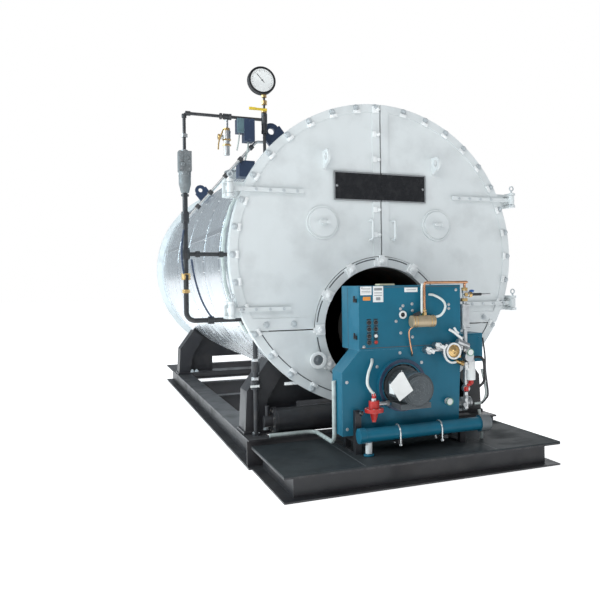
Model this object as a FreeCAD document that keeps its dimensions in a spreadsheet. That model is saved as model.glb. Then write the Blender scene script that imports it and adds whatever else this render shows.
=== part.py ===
import FreeCAD, Part
import math
import os
import re
import Sketcher

V = FreeCAD.Vector
Rotation = FreeCAD.Rotation

# Driving dimensions in millimetres. Z is up, the front of the boiler faces -Y,
# and the origin is on the floor at the middle of the skid.
DIMENSIONS = {
    "shell_radius": 1045,
    "shell_wall": 45,
    "shell_length": 4690,
    "under_shell": 210,
    "front_overhang": 818,
    "rear_overhang": 132,
    "smokebox_depth": 206,
    "flange_thickness": 40,
    "flange_lip": 60,
    "rim_lip": 55,
    "rim_margin": 2,
    "rim_band_width": 56,
    "door_plate": 12,
    "door_band": 8,
    "door_seat_gap": 2,
    "door_lining": 70,
    "door_gap": 5,
    "seam_half_gap": 5,
    "burner_opening": 440,
    "burner_ring_width": 72,
    "furnace_wall": 15,
    "furnace_clear": 21,
    "furnace_end_gap": 746,
    "tube_sheet_thickness": 25,
    "hand_hole_radius": 48,
    "hinge_above_axis": 438,
    "hinge_below_axis": 370,
    "hinge_forward": 55,
    "knuckle_radius": 22,
    "pin_radius": 12,
    "pin_fit": 0.05,
    "strap_thickness": 26,
    "port_x": 449,
    "port_radius": 118,
    "nameplate_reach": 361,
    "nameplate_tall": 206,
    "main_beam_height": 200,
    "main_beam_width": 160,
    "beam_inset": 145,
    "beam_flange": 14,
    "cross_spacing": 1000,
    "anchor_hole": 11,
    "platform_height": 150,
    "deck_thickness": 10,
    "saddle_setback": 330,
    "windbox_half_width": 373,
    "windbox_up": 304,
    "windbox_down": 114,
    "windbox_depth": 320,
    "burner_front": 500,
    "housing_depth": 190,
    "housing_tall": 540,
    "motor_radius": 103,
    "motor_length": 250,
    "header_radius": 44,
    "cross_pipe_radius": 88,
    "lug_lean": 38,
    "lug_reach": 120,
    "flue_radius": 300,
    "flue_inset": 918,
    "flue_pcd": 700,
    "steam_radius": 84,
    "steam_setback": 1932,
    "steam_pcd": 240,
    "stack_rise": 160,
    "trim_setback": 250,
    "trim_pipe": 11,
    "column_pipe": 17,
    "column_half": 42,
}

# Places and sizes that follow from the driving dimensions.
dim = dict(DIMENSIONS)
dim["front_gap"] = dim["door_plate"] + dim["door_seat_gap"]
dim["head_depth"] = dim["front_gap"] + dim["flange_thickness"] + dim["smokebox_depth"]
dim["skid_half_length"] = (dim["front_overhang"] + dim["head_depth"] + dim["shell_length"]
                           + dim["rear_overhang"]) / 2
dim["front_face"] = dim["front_overhang"] - dim["skid_half_length"]
dim["flange_start"] = dim["front_face"] + dim["front_gap"]
dim["flange_back"] = dim["flange_start"] + dim["flange_thickness"]
dim["shell_start"] = dim["front_face"] + dim["head_depth"]
dim["rear_start"] = dim["shell_start"] + dim["shell_length"]
dim["rim_radius"] = dim["shell_radius"] + dim["rim_lip"]
dim["head_radius"] = dim["rim_radius"] - dim["rim_margin"]
dim["rim_band_inner"] = dim["head_radius"] - dim["rim_band_width"]
dim["flange_inner"] = dim["shell_radius"] - dim["flange_lip"]
dim["shell_inner"] = dim["shell_radius"] - dim["shell_wall"]
dim["axis_height"] = dim["main_beam_height"] + dim["under_shell"] + dim["shell_radius"]
dim["crown"] = dim["axis_height"] + dim["shell_radius"]
dim["furnace_outer"] = dim["burner_opening"] + dim["furnace_wall"]
dim["ring_radius"] = dim["burner_opening"] + dim["burner_ring_width"]
dim["burner_height"] = (dim["axis_height"] - dim["shell_inner"] + dim["furnace_outer"]
                        + dim["furnace_clear"])
dim["ring_top"] = dim["burner_height"] + dim["ring_radius"]
dim["furnace_length"] = dim["smokebox_depth"] + dim["shell_length"] - dim["furnace_end_gap"]
dim["door_bottom"] = dim["burner_height"] + 7
dim["hinge_x"] = dim["rim_radius"] - 5
dim["hinge_upper"] = dim["axis_height"] + dim["hinge_above_axis"]
dim["hinge_lower"] = dim["axis_height"] - dim["hinge_below_axis"]
dim["port_height"] = dim["ring_top"] + 241
dim["main_beam_x"] = dim["shell_radius"] - dim["beam_inset"]
dim["anchor_x"] = dim["main_beam_x"] + 45
dim["anchor_front"] = dim["front_face"] + 732
dim["anchor_rear"] = dim["skid_half_length"] - 250
dim["platform_half_width"] = dim["main_beam_x"] + 60
dim["deck_top"] = dim["platform_height"] + dim["deck_thickness"]
dim["panel"] = dim["front_face"] - dim["burner_front"]
dim["windbox_bottom"] = dim["burner_height"] - dim["windbox_down"]
dim["housing_bottom"] = dim["windbox_bottom"] - dim["housing_tall"]
dim["train_x"] = dim["windbox_half_width"] + 39
dim["flue_y"] = dim["rear_start"] - dim["flue_inset"]
dim["steam_y"] = dim["front_face"] + dim["steam_setback"]
dim["stack_top"] = dim["crown"] + dim["stack_rise"]
dim["trim"] = dim["front_face"] + dim["trim_setback"]
dim["riser_x"] = dim["shell_radius"] - 255
dim["column_x"] = dim["shell_radius"] + 298
dim["steam_line"] = dim["crown"] - 70

doc = FreeCAD.newDocument("Boiler")
sheet = doc.addObject("Spreadsheet::Sheet", "Dims")
for row, (alias, number) in enumerate(dim.items(), 1):
    sheet.set("A%d" % row, alias)
    sheet.set("B%d" % row, str(number))
    sheet.setAlias("B%d" % row, alias)
doc.recompute()

ALONG_Y = Rotation(V(1, 0, 0), -90)
ALONG_X = Rotation(V(0, 1, 0), 90)
UPRIGHT = Rotation()
nodes = []


def formula(text):
    """Point the dimension names of an expression at the spreadsheet."""
    def point(match):
        word = match.group(0)
        return "Dims." + word if word in dim else word
    return re.sub(r"[a-z][a-z_]+", point, str(text))


def bind(thing, **properties):
    for prop, text in properties.items():
        thing.setExpression(prop, formula(text))


def place(thing, at, turn=UPRIGHT):
    thing.Placement = FreeCAD.Placement(V(0, 0, 0), turn)
    for letter, text in zip("xyz", at):
        thing.setExpression("Placement.Base." + letter, formula(text))
    return thing


def box(at, size):
    """A box from its low corner and its sizes along X, Y and Z."""
    thing = doc.addObject("Part::Box", "Box")
    bind(thing, Length=size[0], Width=size[1], Height=size[2])
    return place(thing, at)


def rod(at, radius, length, turn=ALONG_Y):
    """A cylinder that starts at a point and runs along +Y unless it is turned."""
    thing = doc.addObject("Part::Cylinder", "Rod")
    bind(thing, Radius=radius, Height=length)
    return place(thing, at, turn)


def ball(at, radius):
    thing = doc.addObject("Part::Sphere", "Ball")
    bind(thing, Radius=radius)
    return place(thing, at)


def cone(at, low_radius, high_radius, length, turn=UPRIGHT):
    thing = doc.addObject("Part::Cone", "Cone")
    bind(thing, Radius1=low_radius, Radius2=high_radius, Height=length)
    return place(thing, at, turn)


def fuse(*things):
    joined = doc.addObject("Part::MultiFuse", "Fuse")
    joined.Shapes = list(things)
    joined.Refine = True
    return joined


def cut(base, *tools):
    for tool in tools:
        left = doc.addObject("Part::Cut", "Cut")
        left.Base = base
        left.Tool = tool
        base = left
    return base


def common(first, second):
    shared = doc.addObject("Part::Common", "Common")
    shared.Base = first
    shared.Tool = second
    return shared


def group(*things):
    """Like pieces that do not touch, kept as one node."""
    together = doc.addObject("Part::Compound", "Group")
    together.Links = list(things)
    return together


def node(label, thing):
    thing.Label = label
    nodes.append(thing)
    return thing


def prism(outline, low, depth, plane="XZ"):
    """A body padded from a closed outline of straight lines, upwards or towards +Y."""
    body = doc.addObject("PartDesign::Body", "Prism")
    sketch = body.newObject("Sketcher::SketchObject", "Outline")
    for start, end in zip(outline, outline[1:] + outline[:1]):
        sketch.addGeometry(Part.LineSegment(V(start[0], start[1], 0), V(end[0], end[1], 0)), False)
    for index in range(len(outline)):
        sketch.addConstraint(Sketcher.Constraint("Coincident", index, 2, (index + 1) % len(outline), 1))
    role = {"XZ": "XZ_Plane", "YZ": "YZ_Plane"}[plane]
    sketch.AttachmentSupport = [(next(f for f in body.Origin.OriginFeatures if f.Role == role), "")]
    sketch.MapMode = "FlatFace"
    pad = body.newObject("PartDesign::Pad", "Pad")
    pad.Profile = sketch
    pad.setExpression("Length", formula(depth))
    pad.Reversed = plane == "XZ"
    body.Tip = pad
    axis = {"XZ": "y", "YZ": "x"}[plane]
    body.setExpression("Placement.Base." + axis, formula(low))
    return body


def pipe(points, radius, bend):
    """A round bar along a route of straight runs with rounded corners."""
    edges = []
    start = V(*points[0])
    for before, corner, after in zip(points, points[1:], points[2:]):
        corner = V(*corner)
        back = (V(*before) - corner).normalize()
        ahead = (V(*after) - corner).normalize()
        turn = math.pi - back.getAngle(ahead)
        setback = bend * math.tan(turn / 2)
        inward = (back + ahead).normalize()
        middle = corner + inward * (bend / math.cos(turn / 2) - bend)
        edges.append(Part.makeLine(start, corner + back * setback))
        edges.append(Part.Arc(corner + back * setback, middle, corner + ahead * setback).toShape())
        start = corner + ahead * setback
    edges.append(Part.makeLine(start, V(*points[-1])))
    heading = V(*points[1]) - V(*points[0])
    ring = Part.Wire(Part.makeCircle(radius, V(*points[0]), heading))
    thing = doc.addObject("Part::Feature", "Pipe")
    thing.Shape = Part.Wire(edges).makePipeShell([ring], True, True)
    return thing


def shell_tool():
    """The outside of the shell, to trim what stands on it."""
    return rod(("0", "front_face - 200", "axis_height"), "shell_radius", "shell_length + 1000")


def polar(radius, degrees):
    """X, and Z above the shell's axis, of a point at an angle from +X towards +Z."""
    angle = math.radians(degrees)
    return radius * math.cos(angle), radius * math.sin(angle)


# --- Skid ---------------------------------------------------------------
def main_beam(side):
    """One long I-beam of the skid, on the left (-1) or the right (1)."""
    low = "%d * main_beam_x" % side
    start = "front_face + 130"
    length = "skid_half_length - front_face - 130"
    flange_x = low + " - main_beam_width / 2"
    anchors = [rod(("%d * anchor_x" % side, y, "-20"), "anchor_hole", "60", UPRIGHT)
               for y in ("anchor_front", "anchor_rear")]
    beam = fuse(
        box((flange_x, start, "0"), ("main_beam_width", length, "beam_flange")),
        box((low + " - 6", start, "0"), ("12", length, "main_beam_height")),
        box((flange_x, start, "main_beam_height - beam_flange"), ("main_beam_width", length, "beam_flange")))
    return cut(beam, *anchors)


def cross_beam(y, reach, width):
    """An I-beam across the skid, centred on x = 0."""
    low_y = "%s - %s / 2" % (y, width)
    length = "2 * (%s)" % reach
    low_x = "-(%s)" % reach
    return fuse(
        box((low_x, low_y, "0"), (length, width, "12")),
        box((low_x, "%s - 6" % y, "0"), (length, "12", "main_beam_height")),
        box((low_x, low_y, "main_beam_height - 12"), (length, width, "12")))


node("skid_beams", group(main_beam(-1), main_beam(1)))

inner_reach = "main_beam_x - main_beam_width / 2"
node("skid_cross_beams", group(
    cross_beam("front_face + 75", "main_beam_x + main_beam_width / 2", "110"),
    *[cross_beam(y, inner_reach, "100")
      for y in ("-cross_spacing", "0", "cross_spacing", "skid_half_length - 50")]))

platform_length = "front_overhang + 20"
web_x = "platform_half_width - 80"
platform_parts = [
    box(("-platform_half_width", "-skid_half_length", low), ("2 * platform_half_width", "160", "10"))
    for low in ("0", "platform_height - 10")]
platform_parts.append(box(("-(%s)" % web_x, "-skid_half_length + 75", "0"),
                          ("2 * (%s)" % web_x, "10", "platform_height")))
for side in (-1, 1):
    edge_x = "%d * (platform_half_width - 80)" % side
    platform_parts += [
        box((edge_x + " - 80", "-skid_half_length", "0"), ("160", platform_length, "10")),
        box((edge_x + " - 80", "-skid_half_length", "platform_height - 10"), ("160", platform_length, "10")),
        box((edge_x + " - 5", "-skid_half_length + 75", "0"),
            ("10", platform_length + " - 75", "platform_height")),
    ]
node("platform_frame", fuse(*platform_parts))
node("deck_plate", box(("-platform_half_width", "-skid_half_length", "platform_height"),
                       ("2 * platform_half_width", platform_length, "deck_thickness")))


def saddle(y):
    """A cradle under the shell: upright web, flared legs and a base plate."""
    bottom = dim["main_beam_height"]
    beam_x = dim["main_beam_x"]
    horn_x, horn_rise = polar(dim["shell_radius"] + 6, -43)
    horn_z = dim["axis_height"] + horn_rise
    web = prism([(-beam_x - 60, bottom), (beam_x + 60, bottom), (beam_x + 40, bottom + 280),
                 (horn_x, horn_z), (-horn_x, horn_z), (-beam_x - 40, bottom + 280)], "%s - 12" % y, "24")
    outer_x, outer_rise = polar(dim["shell_radius"] + 34, -43)
    inner_x, inner_rise = polar(dim["shell_radius"] + 24, -50.5)
    legs = []
    for side in (-1, 1):
        edge = [(beam_x - 60, bottom), (beam_x + 60, bottom), (beam_x + 45, bottom + 300),
                (outer_x, dim["axis_height"] + outer_rise), (inner_x, dim["axis_height"] + inner_rise),
                (beam_x - 100, bottom + 230)]
        legs.append(prism([(side * x, z) for x, z in edge][::side], "%s - 110" % y, "220"))
    base = box(("-main_beam_x - 70", "%s - 120" % y, "main_beam_height"),
               ("2 * main_beam_x + 140", "240", "20"))
    window = box(("340 - main_beam_x", "%s - 300" % y, "main_beam_height + 20"),
                 ("2 * (main_beam_x - 340)", "600", "170"))
    return cut(fuse(web, base, *legs), shell_tool(), window)


node("saddles", group(saddle("front_face + saddle_setback"), saddle("flue_y")))

# --- Pressure shell and its ends ---------------------------------------
node("boiler_shell", cut(
    rod(("0", "shell_start", "axis_height"), "shell_radius", "shell_length"),
    rod(("0", "shell_start - 10", "axis_height"), "shell_inner", "shell_length + 20"),
    rod(("0", "flue_y", "axis_height"), "flue_radius", "2000", UPRIGHT),
    rod(("0", "steam_y", "axis_height"), "steam_radius", "2000", UPRIGHT)))

node("front_smokebox", cut(
    fuse(rod(("0", "flange_start", "axis_height"), "rim_radius", "flange_thickness"),
         rod(("0", "flange_start", "axis_height"), "shell_radius", "flange_thickness + smokebox_depth")),
    rod(("0", "flange_start - 10", "axis_height"), "flange_inner",
        "flange_thickness + smokebox_depth + 20")))

node("tube_sheet", cut(
    rod(("0", "shell_start", "axis_height"), "shell_inner", "tube_sheet_thickness"),
    rod(("0", "shell_start - 10", "burner_height"), "furnace_outer", "60")))
node("furnace_tube", cut(
    rod(("0", "flange_back", "burner_height"), "furnace_outer", "furnace_length"),
    rod(("0", "flange_back - 10", "burner_height"), "burner_opening", "furnace_length - 20")))
flange_seat = cut(
    rod(("0", "flange_start", "axis_height"), "rim_radius + 100", "200"),
    rod(("0", "flange_start - 10", "axis_height"), "flange_inner", "300"))
node("burner_ring", cut(
    rod(("0", "front_face - door_band", "burner_height"), "ring_radius",
        "door_band + front_gap + flange_thickness"),
    rod(("0", "front_face - 30", "burner_height"), "burner_opening", "200"),
    flange_seat))

ring_x, ring_rise = polar(dim["ring_radius"] + 32, -22.6)
hand_hole_z = "burner_height + %f" % ring_rise
hand_holes = [rod((side * ring_x, "front_face - 40", hand_hole_z), "hand_hole_radius", "60")
              for side in (-1, 1)]
lower_limit = box(("-rim_radius - 100", "front_face - 50", "0"),
                  ("2 * rim_radius + 200", "50 + front_gap", "door_bottom - 8"))
lower_plate = fuse(
    rod(("0", "front_face + door_seat_gap", "axis_height"), "head_radius", "door_plate"),
    cut(rod(("0", "front_face - door_band", "axis_height"), "head_radius", "20"),
        rod(("0", "front_face - 20", "axis_height"), "rim_band_inner", "60")),
    rod(("0", "front_face - 4", "axis_height"), "rim_band_inner - 8", "12"),
    *hand_holes)
node("lower_head_plate", cut(
    common(lower_plate, lower_limit),
    rod(("0", "front_face - 100", "burner_height"), "ring_radius + 1", "200")))

rear_face = "rear_start + flange_thickness"
node("rear_cover", fuse(
    rod(("0", "rear_start", "axis_height"), "rim_radius", "flange_thickness"),
    rod(("0", rear_face, "axis_height"), "head_radius", "12"),
    cut(rod(("0", rear_face, "axis_height"), "head_radius", "20"),
        rod(("0", "rear_start", "axis_height"), "rim_band_inner", "200")),
    rod(("0", rear_face, "burner_height"), "240", "36"),
    rod(("0", rear_face, "burner_height"), "44", "70")))


def stack(label, y, bore, flange, wall, pcd, count, hole):
    """An upright neck on the crown of the shell with a drilled flange on top."""
    neck = fuse(rod(("0", y, "crown - 80"), "%s + %s" % (bore, wall), "stack_rise + 80", UPRIGHT),
                rod(("0", y, "stack_top - 16"), flange, "16", UPRIGHT))
    holes = []
    for index in range(count):
        angle = 2 * math.pi * (index + 0.5) / count
        holes.append(rod(("%s * %.6f" % (pcd, math.cos(angle) / 2),
                          "%s + %s * %.6f" % (y, pcd, math.sin(angle) / 2), "stack_top - 40"),
                         hole, "80", UPRIGHT))
    inside = rod(("0", y, "axis_height"), bore, "2000", UPRIGHT)
    return node(label, cut(neck, inside, shell_tool(), fuse(*holes)))


stack("flue_collar", "flue_y", "flue_radius", "flue_pcd / 2 + 30", "8", "flue_pcd", 12, "9")
stack("steam_nozzle", "steam_y", "steam_radius", "steam_pcd / 2 + 22", "9", "steam_pcd", 8, "11")


def lifting_lug(side, y):
    """A plate across the shoulder of the shell with an eye near its rounded top."""
    lean = math.radians(dim["lug_lean"])
    out = V(side * math.sin(lean), 0, math.cos(lean))
    across = V(math.cos(lean), 0, -side * math.sin(lean))
    foot = out * (dim["shell_radius"] - 25) - across * 75
    plate = box((foot.x, y, "axis_height + %f" % foot.z), ("150", "30", "lug_reach + 25"))
    place(plate, (foot.x, y, "axis_height + %f" % foot.z), Rotation(V(0, 1, 0), side * dim["lug_lean"]))
    eye_at = out * (dim["shell_radius"] + dim["lug_reach"])
    crown_disc = rod((eye_at.x, y, "axis_height + %f" % eye_at.z), "60", "30")
    eye = rod((eye_at.x, y + " - 10", "axis_height + %f" % eye_at.z), "24", "60")
    return cut(fuse(plate, crown_disc), eye, shell_tool())


node("lifting_lugs", group(*[lifting_lug(side, y) for side in (-1, 1)
                             for y in ("front_face + 340", "rear_start - 1218")]))


# --- Front doors ---------------------------------------------------------
def door(side, name):
    """A hinged half of the upper front with its lining, straps and fittings; side -1 is the left one."""
    front = dim["front_face"]
    ring_top = dim["ring_top"]
    half_width = "(rim_radius + 100)"
    seam = "seam_half_gap" if side > 0 else "-seam_half_gap - " + half_width
    half = box((seam, "front_face - 400", "door_bottom"), (half_width, "800", "2 * rim_radius"))
    seam_strip = box(("seam_half_gap" if side > 0 else "-seam_half_gap - 58", "front_face - door_band",
                      "burner_height"),
                     ("58", "door_band", "axis_height + head_radius - burner_height - 18"))
    strip_start = "ring_radius + 18"
    bottom_strip = box((strip_start if side > 0 else "-rim_radius", "front_face - door_band", "door_bottom"),
                       ("rim_radius - (%s)" % strip_start, "door_band", "82"))
    rim_disc = rod(("0", "front_face - door_band", "axis_height"), "head_radius", "door_band")
    face = fuse(
        rod(("0", "front_face", "axis_height"), "head_radius", "door_plate"),
        cut(rod(("0", "front_face - door_band", "axis_height"), "head_radius", "20"),
            rod(("0", "front_face - 30", "axis_height"), "rim_band_inner", "80")),
        common(fuse(seam_strip, bottom_strip), rim_disc))
    opening = ("0", "front_face - 60", "burner_height")
    plate = cut(common(face, half), rod(opening, "ring_radius + door_gap", "200"))
    lug_x = side * 429
    eye_z = dim["axis_height"] + 685
    tongue = prism([(front - 70, eye_z - 50), (front, eye_z - 80),
                    (front, eye_z + 50), (front - 70, eye_z + 50)], "%d - 9" % lug_x, "18", "YZ")
    tip = rod(("%d - 9" % lug_x, "front_face - 70", eye_z), "50", "18", ALONG_X)
    eye = rod(("%d - 30" % lug_x, "front_face - 70", eye_z), "26", "60", ALONG_X)
    lug = cut(fuse(tongue, tip), eye)
    handle_x = side * 88
    handle = pipe([(handle_x, front + 2, ring_top + 125), (handle_x, front - 62, ring_top + 125),
                   (handle_x, front - 62, ring_top + 263), (handle_x, front + 2, ring_top + 263)], 9, 22)
    node("door_%s_plate" % name, fuse(plate, lug, handle))

    lining_half = box(("45" if side > 0 else "-45 - " + half_width, "front_face", "door_bottom + 20"),
                      (half_width, "800", "2 * rim_radius"))
    node("door_%s_lining" % name, cut(
        common(rod(("0", "front_face + door_plate", "axis_height"), "flange_inner - 25", "door_lining"),
               lining_half),
        rod(opening, "ring_radius + 20", "300")))

    straps = []
    for z, reach in (("hinge_upper", "port_x + port_radius + 18"), ("hinge_lower", "ring_radius + 178")):
        start_x = reach if side > 0 else "-hinge_x"
        arm = box((start_x, "front_face - door_band - strap_thickness", z + " - 14"),
                  ("hinge_x - (%s)" % reach, "strap_thickness", "28"))
        hinge_at = ("%d * hinge_x" % side, "front_face - hinge_forward")
        knuckle = rod((*hinge_at, z + " - 34"), "knuckle_radius", "68", UPRIGHT)
        neck = box(("%d * hinge_x - knuckle_radius" % side, "front_face - hinge_forward", z + " - 14"),
                   ("2 * knuckle_radius", "hinge_forward - door_band", "28"))
        bore = rod((*hinge_at, z + " - 100"), "pin_radius + pin_fit", "200", UPRIGHT)
        straps.append(cut(fuse(arm, knuckle, neck), bore))
    node("door_%s_hinge_straps" % name, group(*straps))

    knob_x = "%d * port_x" % side
    node("door_%s_port_cover" % name, fuse(
        rod((knob_x, "front_face - 14", "port_height"), "port_radius", "14"),
        rod((knob_x, "front_face - 26", "port_height"), "port_radius - 18", "14"),
        rod((knob_x, "front_face - 64", "port_height"), "13", "44"),
        box((knob_x + " - 34", "front_face - 66", "port_height - 8"), ("68", "14", "16")),
        rod((knob_x + " - 30", "front_face - 70", "port_height"), "12", "22"),
        rod((knob_x + " + 30", "front_face - 70", "port_height"), "12", "22")))
    plate_x = "seam_half_gap" if side > 0 else "-nameplate_reach"
    node("nameplate_%s" % name, box((plate_x, "front_face - door_band - 4", "ring_top + 403"),
                                    ("nameplate_reach - seam_half_gap", "4", "nameplate_tall")))


door(-1, "left")
door(1, "right")


def hinge_bracket(side, z):
    """Two ears and a pin that carry one door hinge from the flange."""
    x = "%d * hinge_x" % side
    steps = (-57, 37)
    ears = [rod((x, "front_face - hinge_forward", "%s + %d" % (z, up)), "knuckle_radius", "20", UPRIGHT)
            for up in steps]
    pin = rod((x, "front_face - hinge_forward", z + " - 57"), "pin_radius", "114", UPRIGHT)
    low_x = "hinge_x - 5" if side > 0 else "-hinge_x - 35"
    backs = [box((low_x, "front_face - hinge_forward", "%s + %d" % (z, up)),
                 ("40", "hinge_forward + front_gap + flange_thickness", "20")) for up in steps]
    spine = box(("hinge_x + 7" if side > 0 else "-hinge_x - 35", "flange_start", z + " - 57"),
                ("28", "flange_thickness", "114"))
    foot = box(("hinge_x - 150" if side > 0 else "-hinge_x - 10", "flange_back", z + " - 57"),
               ("160", "16", "114"))
    rim = rod(("0", "front_face - 200", "axis_height"), "rim_radius", "200 + front_gap + flange_thickness")
    return cut(fuse(*ears, pin, *backs, spine, foot), rim, shell_tool())


node("hinge_brackets", group(*[hinge_bracket(side, z) for side in (-1, 1)
                               for z in ("hinge_upper", "hinge_lower")]))

# --- Burner --------------------------------------------------------------
half = dim["windbox_half_width"]
panel = dim["panel"]
burner_z = dim["burner_height"]
node("burner_windbox", box(("-windbox_half_width", "panel", "windbox_bottom"),
                           ("2 * windbox_half_width", "windbox_depth", "windbox_up + windbox_down")))
shoulder_z = dim["windbox_bottom"]
housing_low = dim["housing_bottom"]
housing = prism([(-half, shoulder_z), (-half - 119, shoulder_z - 134), (-half - 119, housing_low),
                 (half - 24, housing_low), (half, shoulder_z)], "panel", "housing_depth")
motor_at = ("292 - windbox_half_width", "burner_height - 351")
inlet = cut(rod((motor_at[0], "panel - 30", motor_at[1]), "172", "40"),
            rod((motor_at[0], "panel - 40", motor_at[1]), "140", "40"))
node("burner_fan_housing", fuse(housing, inlet))
node("burner_blast_tube", cut(
    rod(("0", "panel + windbox_depth", "burner_height"), "290", "320"),
    rod(("0", "panel + windbox_depth + 12", "burner_height"), "276", "400")))
node("burner_side_box", box(("windbox_half_width", "panel + 80", "burner_height - 241"),
                            ("220", "180", "200")))

motor_start = "panel - 30 - motor_length"
node("blower_motor", fuse(
    rod((motor_at[0], motor_start + " + 14", motor_at[1]), "motor_radius", "motor_length + 16"),
    rod((motor_at[0], motor_start, motor_at[1]), "motor_radius - 16", "40"),
    rod((motor_at[0], "panel - 24", motor_at[1]), "motor_radius + 25", "24"),
    box((motor_at[0] + " - 105", motor_start + " + 50", motor_at[1] + " - motor_radius - 22"),
        ("210", "150", "34")),
    box((motor_at[0] + " - motor_radius - 30", motor_start + " + 70", motor_at[1] + " - 45"),
        ("60", "110", "90"))))

header_z = "housing_bottom + 13"
stand = []
for x, above in (("-windbox_half_width - 47", "163"), ("windbox_half_width - 33", "23")):
    stand += [
        box((x, "panel - 40", "deck_top"), ("40", "40", "housing_bottom + %s - deck_top" % above)),
        box((x, "panel + 150", "deck_top"), ("40", "40", "housing_bottom - deck_top")),
        box((x, "panel - 40", "deck_top"), ("40", "560", "12")),
        box((x, "panel - 40", "housing_bottom - 40"), ("40", "230", "40")),
    ]
for y in ("panel", "panel + 150"):
    stand.append(box(("-windbox_half_width - 47", y, "housing_bottom - 40"),
                     ("2 * windbox_half_width + 54", "40", "40")))
for x in ("-165", "165"):
    stand.append(box((x, "panel - 134", header_z + " - header_radius - 20"), ("30", "150", "20")))
node("burner_stand", fuse(*stand))

header_y = "panel - 90"
node("header_pipe", fuse(
    rod(("-windbox_half_width - 27", header_y, header_z), "header_radius",
        "2 * windbox_half_width + 114", ALONG_X),
    rod(("-windbox_half_width - 45", header_y, header_z), "header_radius + 5", "40", ALONG_X),
    rod(("windbox_half_width + 82", header_y, header_z), "header_radius + 12", "75", ALONG_X),
    rod(("23 - windbox_half_width", header_y, "deck_top"), "20", header_z + " - deck_top", UPRIGHT)))

reg_at = ("73 - windbox_half_width", "panel - 62")
reg_x = 73 - half
supply_z = burner_z - 453
node("gas_regulator", fuse(
    rod((*reg_at, "burner_height - 565"), "14", "180", UPRIGHT),
    cone((*reg_at, "burner_height - 555"), "16", "30", "54"),
    rod((*reg_at, "burner_height - 503"), "61", "24", UPRIGHT),
    rod((*reg_at, "burner_height - 481"), "34", "50", UPRIGHT),
    pipe([(reg_x, panel - 62, supply_z), (reg_x + 100, panel - 62, supply_z),
          (reg_x + 100, panel - 30, supply_z)], 12, 20)))

node("fuel_actuator", fuse(
    rod(("-20", "panel - 40", "burner_height + 65"), "39", "170", ALONG_X),
    rod(("65", "panel - 40", "burner_height + 65"), "20", "40"),
    rod(("78", "panel - 40", "burner_height + 65"), "14", "52", UPRIGHT)))

train_y = "panel + 6"
node("fuel_train", fuse(
    rod(("train_x", train_y, "burner_height - 551"), "15", "800", UPRIGHT),
    rod(("train_x", train_y, "burner_height - 1"), "31", "170", UPRIGHT),
    rod(("train_x", train_y, "burner_height + 245"), "20", "30", UPRIGHT),
    rod(("windbox_half_width", train_y + " + 20", "burner_height + 199"), "12", "39", ALONG_X),
    rod(("train_x", train_y, "burner_height + 235"), "15", "50", ALONG_X),
    rod(("train_x + 40", train_y, "burner_height + 235"), "7", "165", ALONG_X),
    rod(("windbox_half_width", train_y + " + 20", "burner_height - 91"), "13", "39", ALONG_X),
    ball(("train_x", train_y, "burner_height - 141"), "36"),
    rod(("train_x", train_y + " - 60", "burner_height - 189"), "34", "60"),
    rod(("train_x - 54", train_y + " + 60", "burner_height - 519"), "38", "120", ALONG_X),
    rod(("train_x", train_y, "burner_height - 519"), "15", "60"),
    ball(("train_x", train_y, "burner_height - 411"), "30")))

cluster_y = "panel - 42"
cluster_x = "windbox_half_width - 278"
node("valve_cluster", fuse(
    rod((cluster_x, cluster_y, "burner_height - 131"), "13", "260", ALONG_X),
    rod((cluster_x + " + 5", cluster_y + " - 26", "burner_height - 131"), "24", "68"),
    rod((cluster_x + " + 77", cluster_y + " - 26", "burner_height - 105"), "24", "68"),
    rod((cluster_x + " + 180", cluster_y + " - 34", "burner_height - 141"), "56", "76"),
    rod((cluster_x + " + 77", cluster_y, "burner_height - 131"), "13", "30", UPRIGHT),
    rod((cluster_x + " + 260", cluster_y, "burner_height - 131"), "13", "42")))

train_at = dim["train_x"]
node("copper_pipe", pipe([(78, panel - 40, burner_z + 117), (78, panel - 40, burner_z + 321),
                          (train_at, panel - 40, burner_z + 321), (train_at, panel + 6, burner_z + 321),
                          (train_at, panel + 6, burner_z + 275)], 9, 20))

# --- Water column, gauge and controls on the left ------------------------
trim = dim["trim"]
riser_x = -dim["riser_x"]
column_x = -dim["column_x"]
line_z = dim["steam_line"]
crown = dim["crown"]
axis = dim["axis_height"]
shell = dim["shell_radius"]
safety_x = "-shell_radius - 12"
node("steam_pipe", cut(fuse(
    pipe([(column_x, trim, crown - 334), (column_x, trim, line_z), (riser_x + 10, trim, line_z)],
         dim["trim_pipe"], 26),
    rod(("-riser_x", "trim", "crown - 600"), "trim_pipe", "600", UPRIGHT),
    rod(("-riser_x", "trim", "crown - 20"), "8", "120", UPRIGHT),
    rod(("-riser_x", "trim", "crown - 170"), "20", "70", UPRIGHT),
    rod(("-riser_x", "trim", "steam_line - 24"), "21", "48", UPRIGHT),
    rod((safety_x + " - 24", "trim", "steam_line"), "21", "48", ALONG_X)), shell_tool()))
node("pressure_gauge", fuse(
    rod(("-riser_x - 18", "trim - 26", "crown + 206"), "98", "46"),
    rod(("-riser_x", "trim", "crown + 100"), "12", "20", UPRIGHT)))
node("water_column", fuse(
    box(("-column_x - column_half", "trim - column_half", "crown - 470"),
        ("2 * column_half", "2 * column_half", "136")),
    cone(("-column_x", "trim", "crown - 616"), "26", "column_half - 2", "60"),
    rod(("-column_x", "trim", "crown - 556"), "column_half - 2", "90", UPRIGHT)))
node("column_pipe", cut(fuse(
    pipe([(column_x, trim, crown - 616), (column_x, trim, axis - 445), (145 - shell, trim, axis - 445)],
         dim["column_pipe"], 60),
    rod(("-column_x", "trim", "axis_height + 11"), "14", "column_x - shell_radius + 100", ALONG_X),
    rod(("-column_x", "trim", "axis_height - 19"), "28", "60", UPRIGHT),
    rod(("-column_x", "trim", "crown - 810"), "26", "52", UPRIGHT)), shell_tool()))
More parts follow.
